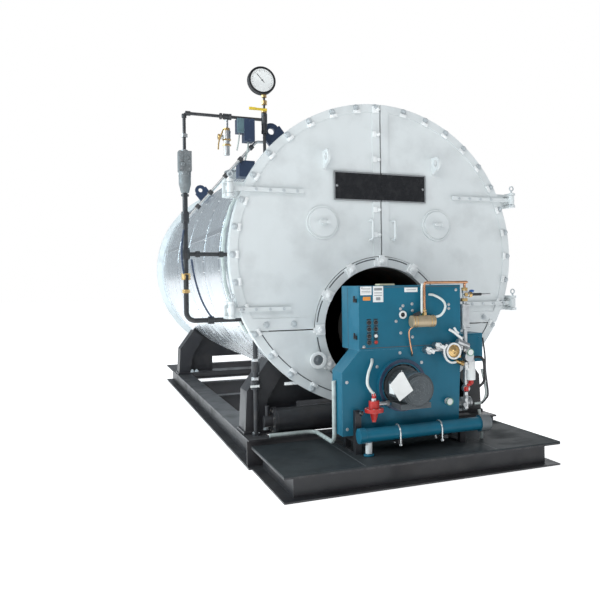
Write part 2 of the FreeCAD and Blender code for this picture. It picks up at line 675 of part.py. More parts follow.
node("shoulder_pipe", cut(
    pipe([(column_x + 18, trim, crown - 784), (195 - shell, trim, crown - 230),
          (riser_x - dim["trim_pipe"], trim, crown - 230)], 10, 40),
    rod(("-column_x", "trim", "crown - 850"), "26", "120", UPRIGHT)))
node("safety_valve", fuse(
    rod((safety_x, "trim", "crown - 170"), "12", "78.8", UPRIGHT),
    rod((safety_x, "trim", "crown - 340"), "20", "110", UPRIGHT),
    rod((safety_x, "trim", "crown - 230"), "27", "60", UPRIGHT),
    rod((safety_x + " - 58", "trim", "crown - 215"), "16", "60", ALONG_X)))
junction_x, junction_rise = polar(shell + 60, 145.8)
node("control_boxes", group(
    box(("-riser_x - 200", "trim - 45", "crown - 180"),
        ("44", "90", "steam_line - trim_pipe - crown + 180")),
    box(("-riser_x - 152", "trim - 50", "crown - 238"),
        ("70", "100", "steam_line - trim_pipe - crown + 238")),
    cut(box((junction_x - 55, "trim + 12", "axis_height + %f" % (junction_rise - 57)),
            ("110", "120", "115")), shell_tool())))

loop = []
for degrees in (150, 160, 170, 180, 190, 200, 212):
    loop_x, loop_rise = polar(shell + (8 if degrees in (150, 212) else 22), degrees)
    loop.append((loop_x, dim["front_face"] + 420, axis + loop_rise))
floor_z = dim["main_beam_height"] + 14
side_x = -half - 119 - 14
beam_y = dim["front_face"] + 42
node("conduits", group(
    cut(pipe(loop, 13, 60), shell_tool()),
    pipe([(side_x, panel + 120, burner_z - 311), (side_x, panel + 120, floor_z), (side_x, beam_y, floor_z),
          (70 - dim["main_beam_x"], beam_y, floor_z)], 14, 60)))
drain_at = ("7 - main_beam_x", "front_face + 170")
node("drain_pipe", cut(fuse(
    rod((*drain_at, "main_beam_height"), "17", "axis_height - main_beam_height", UPRIGHT),
    rod((*drain_at, "main_beam_height"), "30", "14", UPRIGHT),
    rod((*drain_at, "main_beam_height + 320"), "32", "60", UPRIGHT),
    rod((*drain_at, "main_beam_height + 440"), "28", "70", UPRIGHT)), shell_tool()))
cross_y = "front_face + 125"
cross_z = "main_beam_height + cross_pipe_radius + 9"
cross_length = "2 * main_beam_x - 400"
node("cross_pipe", fuse(
    rod(("110 - main_beam_x", cross_y, cross_z), "cross_pipe_radius", cross_length, ALONG_X),
    rod(("110 - main_beam_x", cross_y, cross_z), "cross_pipe_radius + 9", "24", ALONG_X),
    rod(("main_beam_x - 314", cross_y, cross_z), "cross_pipe_radius + 9", "24", ALONG_X),
    rod(("50 - main_beam_x", cross_y, cross_z), "40", "80", ALONG_X),
    rod(("74 - main_beam_x", cross_y, cross_z), "14", "110", UPRIGHT)))

# --- Check and export -----------------------------------------------------
doc.recompute()
for thing in doc.Objects:
    if "Invalid" in thing.State or "Error" in thing.State:
        raise RuntimeError("%s did not recompute" % thing.Label)
os.makedirs("parts", exist_ok=True)
for piece in nodes:
    if piece.Shape.isNull() or not piece.Shape.isValid():
        raise RuntimeError("%s has no valid shape" % piece.Label)
    piece.Shape.exportStep("parts/%s.step" % piece.Label)
    print(piece.Label, len(piece.Shape.Solids), round(piece.Shape.Volume / 1e9, 5))
print(len(nodes), "pieces")
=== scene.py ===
import math
import bpy
import bmesh
from mathutils import Matrix, Vector


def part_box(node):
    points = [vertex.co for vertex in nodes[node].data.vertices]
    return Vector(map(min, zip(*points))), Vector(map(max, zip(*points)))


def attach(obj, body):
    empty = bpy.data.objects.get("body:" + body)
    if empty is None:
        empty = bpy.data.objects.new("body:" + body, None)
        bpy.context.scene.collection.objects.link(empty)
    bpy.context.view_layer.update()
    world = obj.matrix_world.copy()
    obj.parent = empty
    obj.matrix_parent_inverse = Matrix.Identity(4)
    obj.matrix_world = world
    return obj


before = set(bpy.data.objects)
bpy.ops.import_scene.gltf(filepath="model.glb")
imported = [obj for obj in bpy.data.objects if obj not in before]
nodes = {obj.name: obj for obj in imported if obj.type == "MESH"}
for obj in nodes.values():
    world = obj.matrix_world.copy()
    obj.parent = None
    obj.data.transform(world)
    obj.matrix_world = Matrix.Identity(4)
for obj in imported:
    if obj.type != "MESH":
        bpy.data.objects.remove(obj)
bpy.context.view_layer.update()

smokeLow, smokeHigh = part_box("front_smokebox")
frontY = smokeLow.y - 0.014  # outer face of the doors
axisZ = (smokeLow.z + smokeHigh.z) / 2
rimR = (smokeHigh.z - smokeLow.z) / 2
ringLow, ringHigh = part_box("burner_ring")
burnerZ = (ringLow.z + ringHigh.z) / 2
jacketLow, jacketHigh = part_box("boiler_shell")
jacketR = (jacketHigh.x - jacketLow.x) / 2
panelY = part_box("burner_windbox")[0].y
columnLow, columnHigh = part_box("water_column")
trimY = (columnLow.y + columnHigh.y) / 2
print("stage: frame loaded")

# camera and light
cameraSet = {"place": (-1.981, -4.6993, 1.2469), "yaw": 0.42804, "pitch": -0.00066, "roll": -0.01232,
    "lens": 41.88, "shift": (-0.1699, -0.0266)}
camData = bpy.data.cameras.new("camera")
camData.lens = cameraSet["lens"]
camData.sensor_width = 36
camData.shift_x, camData.shift_y = cameraSet["shift"]
camData.clip_end = 200
camObj = bpy.data.objects.new("camera", camData)
bpy.context.scene.collection.objects.link(camObj)
bpy.context.scene.camera = camObj
yaw, pitch, roll = cameraSet["yaw"], cameraSet["pitch"], cameraSet["roll"]
ahead = Vector((math.sin(yaw) * math.cos(pitch), math.cos(yaw) * math.cos(pitch), math.sin(pitch)))
right = Vector((math.cos(yaw), -math.sin(yaw), 0))
up = right.cross(ahead)
rightRolled = right * math.cos(roll) + up * math.sin(roll)
upRolled = up * math.cos(roll) - right * math.sin(roll)
turn = Matrix((rightRolled, upRolled, -ahead)).transposed().to_4x4()
camObj.matrix_world = Matrix.Translation(Vector(cameraSet["place"]) + Vector((0, frontY, 0))) @ turn

world = bpy.data.worlds.new("studio")
bpy.context.scene.world = world
world.use_nodes = True
worldTree = world.node_tree
glow = worldTree.nodes["Background"]
glow.inputs["Color"].default_value = (0.86, 0.93, 1, 1)
glow.inputs["Strength"].default_value = 0.36
backdrop = worldTree.nodes.new("ShaderNodeBackground")
backdrop.inputs["Color"].default_value = (1, 1, 1, 1)
backdrop.inputs["Strength"].default_value = 1.0
seen = worldTree.nodes.new("ShaderNodeLightPath")
either = worldTree.nodes.new("ShaderNodeMixShader")
worldTree.links.new(seen.outputs["Is Camera Ray"], either.inputs[0])
worldTree.links.new(glow.outputs[0], either.inputs[1])
worldTree.links.new(backdrop.outputs[0], either.inputs[2])
worldTree.links.new(either.outputs[0], worldTree.nodes["World Output"].inputs["Surface"])
bpy.context.scene.view_settings.view_transform = "Standard"

lightSet = [
    {"name": "keyBox", "at": (-5.5, -8.5, 6.5), "aim": (0, -1.5, 1.2), "size": (5, 4), "power": 240,
        "tint": (1, 0.99, 0.97)},
    {"name": "leftBox", "at": (-8.5, -1.0, 3.6), "aim": (0, 0, 1.2), "size": (7, 3), "power": 470,
        "tint": (0.78, 0.94, 1)},
    {"name": "topBox", "at": (0, 1.0, 8.5), "aim": (0, 0.5, 1), "size": (6, 9), "power": 190,
        "tint": (1, 1, 1)},
    {"name": "rearBox", "at": (5.5, 7.5, 4.5), "aim": (0, 0, 1), "size": (5, 4), "power": 130,
        "tint": (1, 1, 1)},
]
for spec in lightSet:
    lamp = bpy.data.lights.new(spec["name"], "AREA")
    lamp.shape = "RECTANGLE"
    lamp.size, lamp.size_y = spec["size"]
    lamp.energy = spec["power"]
    lamp.color = spec["tint"]
    holder = bpy.data.objects.new(spec["name"], lamp)
    holder.location = spec["at"]
    holder.rotation_euler = (Vector(spec["aim"]) - Vector(spec["at"])).to_track_quat("-Z", "Y").to_euler()
    bpy.context.scene.collection.objects.link(holder)
print("stage: camera and light")


# shader groups shared by the materials
def newGroup(name, inputs, outputs):
    tree = bpy.data.node_groups.new(name, "ShaderNodeTree")
    for label, kind, value in inputs:
        sock = tree.interface.new_socket(label, in_out="INPUT", socket_type=kind)
        sock.default_value = value
    for label, kind in outputs:
        tree.interface.new_socket(label, in_out="OUTPUT", socket_type=kind)
    return tree, tree.nodes.new("NodeGroupInput"), tree.nodes.new("NodeGroupOutput")


def objectNoise(tree, scaleFrom, detail, stretch=(1, 1, 1)):
    coord = tree.nodes.new("ShaderNodeTexCoord")
    warp = tree.nodes.new("ShaderNodeMapping")
    warp.inputs["Scale"].default_value = stretch
    noise = tree.nodes.new("ShaderNodeTexNoise")
    noise.inputs["Detail"].default_value = detail
    tree.links.new(coord.outputs["Object"], warp.inputs["Vector"])
    tree.links.new(warp.outputs["Vector"], noise.inputs["Vector"])
    tree.links.new(scaleFrom, noise.inputs["Scale"])
    return noise


def mathNode(tree, operation, first, second, clamp=False):
    sums = tree.nodes.new("ShaderNodeMath")
    sums.operation = operation
    sums.use_clamp = clamp
    for index, value in enumerate((first, second)):
        if isinstance(value, (int, float)):
            sums.inputs[index].default_value = value
        else:
            tree.links.new(value, sums.inputs[index])
    return sums.outputs[0]


def rangeNode(tree, value, low, high):
    band = tree.nodes.new("ShaderNodeMapRange")
    band.inputs["From Min"].default_value = low
    band.inputs["From Max"].default_value = high
    tree.links.new(value, band.inputs["Value"])
    return band.outputs["Result"]


dustTree, gin, gout = newGroup("dustMask", [("Amount", "NodeSocketFloat", 0.5),
    ("Scale", "NodeSocketFloat", 4.0)], [("Mask", "NodeSocketFloat")])
facing = dustTree.nodes.new("ShaderNodeNewGeometry")
split = dustTree.nodes.new("ShaderNodeSeparateXYZ")
dustTree.links.new(facing.outputs["Normal"], split.inputs[0])
upward = rangeNode(dustTree, split.outputs["Z"], 0.1, 1.0)
patch = objectNoise(dustTree, gin.outputs["Scale"], 6)
patchy = rangeNode(dustTree, patch.outputs["Fac"], 0.3, 0.7)
mixed = mathNode(dustTree, "MULTIPLY", upward, patchy)
dustTree.links.new(mathNode(dustTree, "MULTIPLY", mixed, gin.outputs["Amount"], True), gout.inputs["Mask"])

edgeTree, gin, gout = newGroup("edgeMask", [("Amount", "NodeSocketFloat", 0.5),
    ("Scale", "NodeSocketFloat", 30.0)], [("Mask", "NodeSocketFloat")])
shape = edgeTree.nodes.new("ShaderNodeNewGeometry")
rounded = edgeTree.nodes.new("ShaderNodeBevel")
rounded.samples = 4
rounded.inputs["Radius"].default_value = 0.008
agree = edgeTree.nodes.new("ShaderNodeVectorMath")
agree.operation = "DOT_PRODUCT"
edgeTree.links.new(shape.outputs["Normal"], agree.inputs[0])
edgeTree.links.new(rounded.outputs["Normal"], agree.inputs[1])
sharp = rangeNode(edgeTree, agree.outputs["Value"], 0.985, 0.86)
grain = objectNoise(edgeTree, gin.outputs["Scale"], 8)
broken = rangeNode(edgeTree, grain.outputs["Fac"], 0.42, 0.6)
worn = mathNode(edgeTree, "MULTIPLY", sharp, broken)
edgeTree.links.new(mathNode(edgeTree, "MULTIPLY", worn, gin.outputs["Amount"], True), gout.inputs["Mask"])

streakTree, gin, gout = newGroup("streakMask", [("Amount", "NodeSocketFloat", 0.4),
    ("Scale", "NodeSocketFloat", 3.0)], [("Mask", "NodeSocketFloat")])
runs = objectNoise(streakTree, gin.outputs["Scale"], 7, (6, 6, 0.35))
runMask = rangeNode(streakTree, runs.outputs["Fac"], 0.5, 0.78)
streakTree.links.new(mathNode(streakTree, "MULTIPLY", runMask, gin.outputs["Amount"], True),
    gout.inputs["Mask"])

grimeTree, gin, gout = newGroup("grimeMask", [("Amount", "NodeSocketFloat", 0.4),
    ("Scale", "NodeSocketFloat", 8.0)], [("Mask", "NodeSocketFloat")])
spots = objectNoise(grimeTree, gin.outputs["Scale"], 10)
spotMask = rangeNode(grimeTree, spots.outputs["Fac"], 0.48, 0.72)
grimeTree.links.new(mathNode(grimeTree, "MULTIPLY", spotMask, gin.outputs["Amount"], True), gout.inputs["Mask"])

bumpTree, gin, gout = newGroup("fineBump", [("Scale", "NodeSocketFloat", 60.0),
    ("Depth", "NodeSocketFloat", 0.1)], [("Normal", "NodeSocketVector")])
ripple = objectNoise(bumpTree, gin.outputs["Scale"], 5)
bump = bumpTree.nodes.new("ShaderNodeBump")
bump.inputs["Distance"].default_value = 0.004
bumpTree.links.new(gin.outputs["Depth"], bump.inputs["Strength"])
bumpTree.links.new(ripple.outputs["Fac"], bump.inputs["Height"])
bumpTree.links.new(bump.outputs["Normal"], gout.inputs["Normal"])

maskTrees = {"dust": dustTree, "edge": edgeTree, "streak": streakTree, "grime": grimeTree}


def makeMaterial(name, base, metal=0.0, rough=0.5, layers=(), bumpScale=60, bumpDepth=0.1, roughSpan=0.12,
        extra=None):
    mat = bpy.data.materials.new(name)
    mat.use_nodes = True
    tree = mat.node_tree
    shader = tree.nodes["Principled BSDF"]
    shader.inputs["Metallic"].default_value = metal
    for label, value in (extra or {}).items():
        shader.inputs[label].default_value = value
    grime = tree.nodes.new("ShaderNodeGroup")
    grime.node_tree = grimeTree
    grime.inputs["Scale"].default_value = 5.0
    grime.inputs["Amount"].default_value = 1.0
    tint = tree.nodes.new("ShaderNodeMix")
    tint.data_type = "RGBA"
    tint.inputs[6].default_value = (*base, 1)
    tint.inputs[7].default_value = (*[c * 0.86 for c in base], 1)
    tree.links.new(grime.outputs["Mask"], tint.inputs[0])
    colour = tint.outputs[2]
    for kind, amount, scale, layerColour in layers:
        mask = tree.nodes.new("ShaderNodeGroup")
        mask.node_tree = maskTrees[kind]
        mask.inputs["Amount"].default_value = amount
        mask.inputs["Scale"].default_value = scale
        blend = tree.nodes.new("ShaderNodeMix")
        blend.data_type = "RGBA"
        tree.links.new(mask.outputs["Mask"], blend.inputs[0])
        tree.links.new(colour, blend.inputs[6])
        blend.inputs[7].default_value = (*layerColour, 1)
        colour = blend.outputs[2]
    tree.links.new(colour, shader.inputs["Base Color"])
    span = tree.nodes.new("ShaderNodeMapRange")
    span.inputs["To Min"].default_value = max(rough - roughSpan / 2, 0.03)
    span.inputs["To Max"].default_value = min(rough + roughSpan, 1)
    tree.links.new(grime.outputs["Mask"], span.inputs["Value"])
    tree.links.new(span.outputs["Result"], shader.inputs["Roughness"])
    relief = tree.nodes.new("ShaderNodeGroup")
    relief.node_tree = bumpTree
    relief.inputs["Scale"].default_value = bumpScale
    relief.inputs["Depth"].default_value = bumpDepth
    tree.links.new(relief.outputs["Normal"], shader.inputs["Normal"])
    return mat


dustTan = (0.42, 0.40, 0.37)
mats = {
    "frontPaint": makeMaterial("frontPaint", (0.75, 0.785, 0.79), 0.0, 0.36,
        [("streak", 0.10, 1.8, (0.62, 0.66, 0.67)), ("edge", 0.3, 40, (0.92, 0.94, 0.94)),
        ("grime", 0.08, 9, (0.56, 0.58, 0.56))], 14, 0.06, extra={"Coat Weight": 0.15}),
    "padPaint": makeMaterial("padPaint", (0.92, 0.935, 0.935), 0.0, 0.4,
        [("grime", 0.2, 20, (0.6, 0.62, 0.62))], 80, 0.08),
    "nutPaint": makeMaterial("nutPaint", (0.60, 0.64, 0.66), 0.2, 0.42,
        [("grime", 0.4, 30, (0.34, 0.36, 0.37))], 90, 0.15),
    "grooveDark": makeMaterial("grooveDark", (0.10, 0.11, 0.12), 0.0, 0.8, [("dust", 0.3, 12, dustTan)], 60,
        0.1),
    "jacket": makeMaterial("jacket", (0.80, 0.85, 0.89), 0.88, 0.27,
        [("grime", 0.1, 1.2, (0.6, 0.66, 0.7)), ("dust", 0.05, 2.0, (0.7, 0.72, 0.73))], 1.6, 0.06, 0.1),
    "jacketBand": makeMaterial("jacketBand", (0.72, 0.76, 0.80), 0.9, 0.2,
        [("grime", 0.25, 12, (0.5, 0.52, 0.54))], 30, 0.08),
    "refractory": makeMaterial("refractory", (0.60, 0.55, 0.46), 0.0, 0.92,
        [("grime", 0.6, 7, (0.28, 0.23, 0.18)), ("streak", 0.3, 3, (0.2, 0.17, 0.14))], 70, 0.6),
    "millSteel": makeMaterial("millSteel", (0.13, 0.125, 0.12), 0.55, 0.6,
        [("grime", 0.6, 9, (0.26, 0.13, 0.07)), ("dust", 0.4, 6, dustTan)], 50, 0.3),
    "skidBlack": makeMaterial("skidBlack", (0.022, 0.022, 0.026), 0.0, 0.46,
        [("dust", 0.35, 4, (0.17, 0.17, 0.17)), ("edge", 0.5, 26, (0.16, 0.15, 0.15)),
        ("grime", 0.25, 6, (0.06, 0.05, 0.045))], 45, 0.2),
    "deckGrey": makeMaterial("deckGrey", (0.03, 0.036, 0.04), 0.0, 0.62,
        [("dust", 0.25, 2.2, (0.11, 0.12, 0.12)), ("grime", 0.4, 5, (0.024, 0.028, 0.028))], 30, 0.2,
        extra={"Specular IOR Level": 0.2}),
    "burnerBlue": makeMaterial("burnerBlue", (0.007, 0.14, 0.225), 0.0, 0.4,
        [("edge", 0.5, 40, (0.12, 0.3, 0.42)), ("dust", 0.14, 6, (0.2, 0.27, 0.3)),
        ("streak", 0.12, 4, (0.04, 0.17, 0.26))], 120, 0.1, extra={"Specular IOR Level": 0.3}),
    "motorGrey": makeMaterial("motorGrey", (0.075, 0.088, 0.096), 0.3, 0.42,
        [("dust", 0.45, 12, (0.22, 0.23, 0.24)), ("edge", 0.5, 50, (0.3, 0.31, 0.32))], 140, 0.2),
    "red": makeMaterial("red", (0.56, 0.025, 0.02), 0.0, 0.35, [("edge", 0.5, 60, (0.75, 0.25, 0.2)),
        ("grime", 0.3, 25, (0.25, 0.02, 0.02))], 90, 0.15),
    "brass": makeMaterial("brass", (0.66, 0.45, 0.2), 0.95, 0.32, [("grime", 0.5, 30, (0.3, 0.2, 0.1))], 90,
        0.12),
    "tanPaint": makeMaterial("tanPaint", (0.50, 0.40, 0.27), 0.3, 0.42, [("grime", 0.4, 24, (0.25, 0.2, 0.14))],
        90, 0.15),
    "copper": makeMaterial("copper", (0.70, 0.36, 0.2), 0.95, 0.3, [("grime", 0.5, 26, (0.28, 0.13, 0.08))], 60,
        0.1),
    "steel": makeMaterial("steel", (0.56, 0.57, 0.58), 0.9, 0.34,
        [("grime", 0.45, 26, (0.28, 0.28, 0.28)), ("dust", 0.2, 14, dustTan)], 110, 0.12),
    "darkPipe": makeMaterial("darkPipe", (0.035, 0.037, 0.042), 0.2, 0.42,
        [("grime", 0.35, 18, (0.12, 0.11, 0.1)), ("edge", 0.4, 50, (0.2, 0.2, 0.21))], 90, 0.18),
    "castGrey": makeMaterial("castGrey", (0.20, 0.22, 0.23), 0.2, 0.55,
        [("edge", 0.6, 50, (0.42, 0.43, 0.44)), ("grime", 0.4, 20, (0.1, 0.1, 0.1))], 150, 0.5),
    "navy": makeMaterial("navy", (0.03, 0.05, 0.10), 0.1, 0.42, [("edge", 0.6, 50, (0.16, 0.2, 0.28)),
        ("dust", 0.25, 16, (0.2, 0.22, 0.25))], 110, 0.15),
    "boxTeal": makeMaterial("boxTeal", (0.12, 0.2, 0.23), 0.1, 0.45, [("grime", 0.3, 20, (0.06, 0.09, 0.1))],
        110, 0.15),
    "blackGloss": makeMaterial("blackGloss", (0.012, 0.012, 0.014), 0.0, 0.22,
        [("grime", 0.3, 20, (0.05, 0.05, 0.05))], 40, 0.05),
    "blackMatte": makeMaterial("blackMatte", (0.02, 0.02, 0.022), 0.0, 0.6,
        [("grime", 0.3, 30, (0.06, 0.06, 0.06))], 100, 0.2),
    "frameGrey": makeMaterial("frameGrey", (0.36, 0.37, 0.38), 0.6, 0.35, [("grime", 0.3, 40, (0.2, 0.2, 0.2))],
        90, 0.08),
    "white": makeMaterial("white", (0.86, 0.87, 0.86), 0.0, 0.45, [("grime", 0.25, 24, (0.62, 0.62, 0.6))], 60,
        0.06),
    "creamPaint": makeMaterial("creamPaint", (0.78, 0.72, 0.5), 0.0, 0.4,
        [("grime", 0.3, 30, (0.5, 0.45, 0.3))], 60, 0.08),
    "orange": makeMaterial("orange", (0.8, 0.3, 0.05), 0.0, 0.5, [("grime", 0.3, 40, (0.5, 0.2, 0.05))], 60,
        0.05),
    "yellow": makeMaterial("yellow", (0.8, 0.58, 0.05), 0.0, 0.4, [("grime", 0.3, 40, (0.5, 0.35, 0.05))], 60,
        0.08),
    "knobBlue": makeMaterial("knobBlue", (0.02, 0.12, 0.4), 0.0, 0.35, [("grime", 0.3, 40, (0.02, 0.06, 0.2))],
        60, 0.08),
    "greenBrass": makeMaterial("greenBrass", (0.16, 0.36, 0.25), 0.6, 0.4,
        [("grime", 0.4, 40, (0.1, 0.2, 0.14))], 60, 0.1),
    "hoseWhite": makeMaterial("hoseWhite", (0.74, 0.78, 0.76), 0.0, 0.5,
        [("grime", 0.35, 20, (0.45, 0.48, 0.46))], 90, 0.1),
    "conduitGrey": makeMaterial("conduitGrey", (0.56, 0.62, 0.60), 0.1, 0.5,
        [("grime", 0.4, 22, (0.22, 0.26, 0.25))], 90, 0.15),
    "floorPale": makeMaterial("floorPale", (0.93, 0.93, 0.93), 0.0, 0.9, [("grime", 0.02, 2, (0.9, 0.9, 0.9))],
        20, 0.0, 0.02, {"Emission Color": (1, 1, 1, 1), "Emission Strength": 0.72}),
    "brightSteel": makeMaterial("brightSteel", (0.74, 0.76, 0.76), 0.7, 0.3,
        [("grime", 0.3, 40, (0.4, 0.41, 0.42))], 90, 0.06),
    "stackGrey": makeMaterial("stackGrey", (0.34, 0.36, 0.37), 0.3, 0.5,
        [("grime", 0.4, 8, (0.2, 0.19, 0.18)), ("dust", 0.3, 5, dustTan)], 60, 0.15),
}
print("stage: materials", len(mats))

nodeLooks = {
    "skidBlack": ["skid_beams", "skid_cross_beams", "platform_frame", "saddles", "burner_stand", "cross_pipe"],
    "deckGrey": ["deck_plate"],
    "jacket": ["boiler_shell"],
    "frontPaint": ["front_smokebox", "burner_ring", "lower_head_plate", "rear_cover", "hinge_brackets",
        "door_left_plate", "door_right_plate", "door_left_hinge_straps", "door_right_hinge_straps",
        "door_left_port_cover", "door_right_port_cover"],
    "refractory": ["door_left_lining", "door_right_lining"],
    "millSteel": ["tube_sheet", "furnace_tube", "burner_blast_tube"],
    "stackGrey": ["flue_collar", "steam_nozzle"],
    "burnerBlue": ["burner_windbox", "burner_fan_housing", "burner_side_box", "header_pipe"],
    "motorGrey": ["blower_motor"],
    "red": ["gas_regulator"],
    "tanPaint": ["fuel_actuator"],
    "copper": ["copper_pipe"],
    "steel": ["fuel_train", "valve_cluster", "shoulder_pipe", "safety_valve"],
    "darkPipe": ["steam_pipe", "column_pipe", "drain_pipe"],
    "castGrey": ["water_column"],
    "navy": ["lifting_lugs", "control_boxes"],
    "blackGloss": ["nameplate_left", "nameplate_right"],
    "blackMatte": ["pressure_gauge"],
    "conduitGrey": ["conduits"],
}
softEdges = {
    "burner_windbox": 0.006,
    "burner_fan_housing": 0.006,
    "burner_side_box": 0.005,
    "skid_beams": 0.003,
    "skid_cross_beams": 0.003,
    "platform_frame": 0.003,
    "deck_plate": 0.002,
    "saddles": 0.003,
    "door_left_plate": 0.002,
    "door_right_plate": 0.002,
    "lower_head_plate": 0.002,
    "front_smokebox": 0.003,
    "burner_ring": 0.002,
    "blower_motor": 0.003,
    "control_boxes": 0.004,
    "water_column": 0.004,
    "pressure_gauge": 0.003,
    "gas_regulator": 0.002,
    "header_pipe": 0.003,
    "rear_cover": 0.003,
    "lifting_lugs": 0.002,
    "burner_stand": 0.002,
    "fuel_actuator": 0.003,
}
for look, names in nodeLooks.items():
    for name in names:
        for place in nodes[name].material_slots:
            place.material = mats[look]
for name, width in softEdges.items():
    edge = nodes[name].modifiers.new("softEdge", "BEVEL")
    edge.width = width
    edge.segments = 2
    edge.limit_method = "ANGLE"
    edge.angle_limit = math.radians(40)
    edge.harden_normals = False
print("stage: cad looks")


# mesh helpers: every piece is drawn in the row frame and its object stays at the origin
def frameOf(axis):
    axis = Vector(axis).normalized()
    side = axis.cross(Vector((0, 0, 1)))
    if side.length < 0.01:
        side = axis.cross(Vector((0, 1, 0)))
    side.normalize()
    return axis, side, side.cross(axis)


def circleOf(centre, side, other, radius, sides):
    turns = [2 * math.pi * i / sides for i in range(sides)]
    return [centre + (side * math.cos(turn) + other * math.sin(turn)) * radius for turn in turns]


# turn a list of (radius, distance along the axis) round the axis; it starts and ends on it
def addLathe(bm, start, axis, profile, sides=24):
    axis, side, other = frameOf(axis)
    rows = []
    for radius, along in profile:
        centre = Vector(start) + axis * along
        if radius == 0:
            rows.append([bm.verts.new(centre)])
            continue
        rows.append([bm.verts.new(spot) for spot in circleOf(centre, side, other, radius, sides)])
    for low, high in zip(rows, rows[1:]):
        for i in range(sides):
            j = (i + 1) % sides
            ring = [low[i % len(low)], low[j % len(low)], high[j % len(high)], high[i % len(high)]]
            bm.faces.new(list(dict.fromkeys(ring)))


def addRod(bm, start, end, radius, sides=20, chamfer=None):
    run = Vector(end) - Vector(start)
    lip = min(radius * 0.18, run.length * 0.2) if chamfer is None else chamfer
    addLathe(bm, start, run, [(0, 0), (radius - lip, 0), (radius, lip), (radius, run.length - lip),
        (radius - lip, run.length), (0, run.length)], sides)


def addRing(bm, start, axis, inner, outer, depth, sides=40):
    axis, side, other = frameOf(axis)
    lip = min(depth, outer - inner) * 0.2
    profile = [(inner, lip), (inner + lip, 0), (outer - lip, 0), (outer, lip), (outer, depth - lip),
        (outer - lip, depth), (inner + lip, depth), (inner, depth - lip)]
    rows = [[bm.verts.new(spot) for spot in circleOf(Vector(start) + axis * along, side, other, radius, sides)]
        for radius, along in profile]
    for low, high in zip(rows, rows[1:] + rows[:1]):
        for i in range(sides):
            j = (i + 1) % sides
            bm.faces.new((low[i], low[j], high[j], high[i]))


def addBox(bm, low, high, turned=None):
    corners = [Vector((x, y, z)) for x in (low[0], high[0]) for y in (low[1], high[1])
        for z in (low[2], high[2])]
    if turned:
        corners = [turned @ corner for corner in corners]
    verts = [bm.verts.new(corner) for corner in corners]
    for face in ((0, 1, 3, 2), (4, 6, 7, 5), (0, 4, 5, 1), (2, 3, 7, 6), (0, 2, 6, 4), (1, 5, 7, 3)):
        bm.faces.new([verts[i] for i in face])


# a flat plate with any outline, as thick as the direction is long
def addPlate(bm, outline, direction):
    low = [bm.verts.new(Vector(point)) for point in outline]
    high = [bm.verts.new(Vector(point) + Vector(direction)) for point in outline]
    bm.faces.new(low)
    bm.faces.new(high[::-1])
    for i in range(len(low)):
        j = (i + 1) % len(low)
        bm.faces.new((low[i], high[i], high[j], low[j]))


# a flat arc that faces the front, between two angles from +X towards +Z
def addArcBand(bm, centre, inner, outer, depth, start, end):
    steps = max(2, int(abs(end - start) / 3))
    angles = [math.radians(start + (end - start) * i / steps) for i in range(steps + 1)]
    outline = [(centre[0] + outer * math.cos(a), centre[1], centre[2] + outer * math.sin(a)) for a in angles]
    outline += [(centre[0] + inner * math.cos(a), centre[1], centre[2] + inner * math.sin(a))
        for a in angles[::-1]]
    rows = len(angles)
    low = [bm.verts.new(Vector(point)) for point in outline]
    high = [bm.verts.new(Vector(point) - Vector((0, depth, 0))) for point in outline]
    for i in range(rows - 1):
        j = 2 * rows - 1 - i
        bm.faces.new((low[i], low[i + 1], low[j - 1], low[j]))
        bm.faces.new((high[i], high[j], high[j - 1], high[i + 1]))
    for i in range(2 * rows):
        j = (i + 1) % (2 * rows)
        bm.faces.new((low[i], high[i], high[j], low[j]))


def smoothPath(points, step=6):
    points = [Vector(p) for p in points]
    ghost = [2 * points[0] - points[1]] + points + [2 * points[-1] - points[-2]]
    path = []
    for a, b, c, d in zip(ghost, ghost[1:], ghost[2:], ghost[3:]):
        for i in range(step):
            u = i / step
            square, cube = 2 * a - 5 * b + 4 * c - d, 3 * b - a - 3 * c + d
            path.append(0.5 * (2 * b + (c - a) * u + square * u * u + cube * u ** 3))
    return path + [points[-1]]


# a hose or bent pipe along a route, with closed ends; ribs sets the depth of its corrugation
def addTube(bm, points, radius, sides=12, smooth=True, ribs=0):
    path = smoothPath(points) if smooth else [Vector(p) for p in points]
    rows = []
    side = None
    for i, point in enumerate(path):
        ahead = (path[min(i + 1, len(path) - 1)] - path[max(i - 1, 0)]).normalized()
        side = frameOf(ahead)[1] if side is None else (side - ahead * side.dot(ahead)).normalized()
        other = ahead.cross(side)
        size = radius - (ribs if i % 2 else 0)
        rows.append([bm.verts.new(spot) for spot in circleOf(point, side, other, size, sides)])
    bm.faces.new(rows[0][::-1])
    bm.faces.new(rows[-1])
    for low, high in zip(rows, rows[1:]):
        for k in range(sides):
            m = (k + 1) % sides
            bm.faces.new((low[k], low[m], high[m], high[k]))


def addHex(bm, start, axis, radius, length):
    axis, side, other = frameOf(axis)
    addPlate(bm, circleOf(Vector(start), side, other, radius, 6), axis * length)


def finishPiece(bm, name, look, body, bevel=0.0015):
    bmesh.ops.recalc_face_normals(bm, faces=bm.faces)
    mesh = bpy.data.meshes.new(name)
    bm.to_mesh(mesh)
    bm.free()
    return keepMesh(mesh, name, look, body, bevel)


def keepMesh(mesh, name, look, body, bevel):
    if not mesh.materials:
        mesh.materials.append(mats[look])
    for face in mesh.polygons:
        face.use_smooth = True
    mesh.set_sharp_from_angle(angle=math.radians(35))
    piece = bpy.data.objects.new(name, mesh)
    bpy.context.scene.collection.objects.link(piece)
    if bevel:
        edge = piece.modifiers.new("softEdge", "BEVEL")
        edge.width = bevel
        edge.segments = 2
        edge.limit_method = "ANGLE"
        edge.angle_limit = math.radians(40)
    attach(piece, body)
    return piece


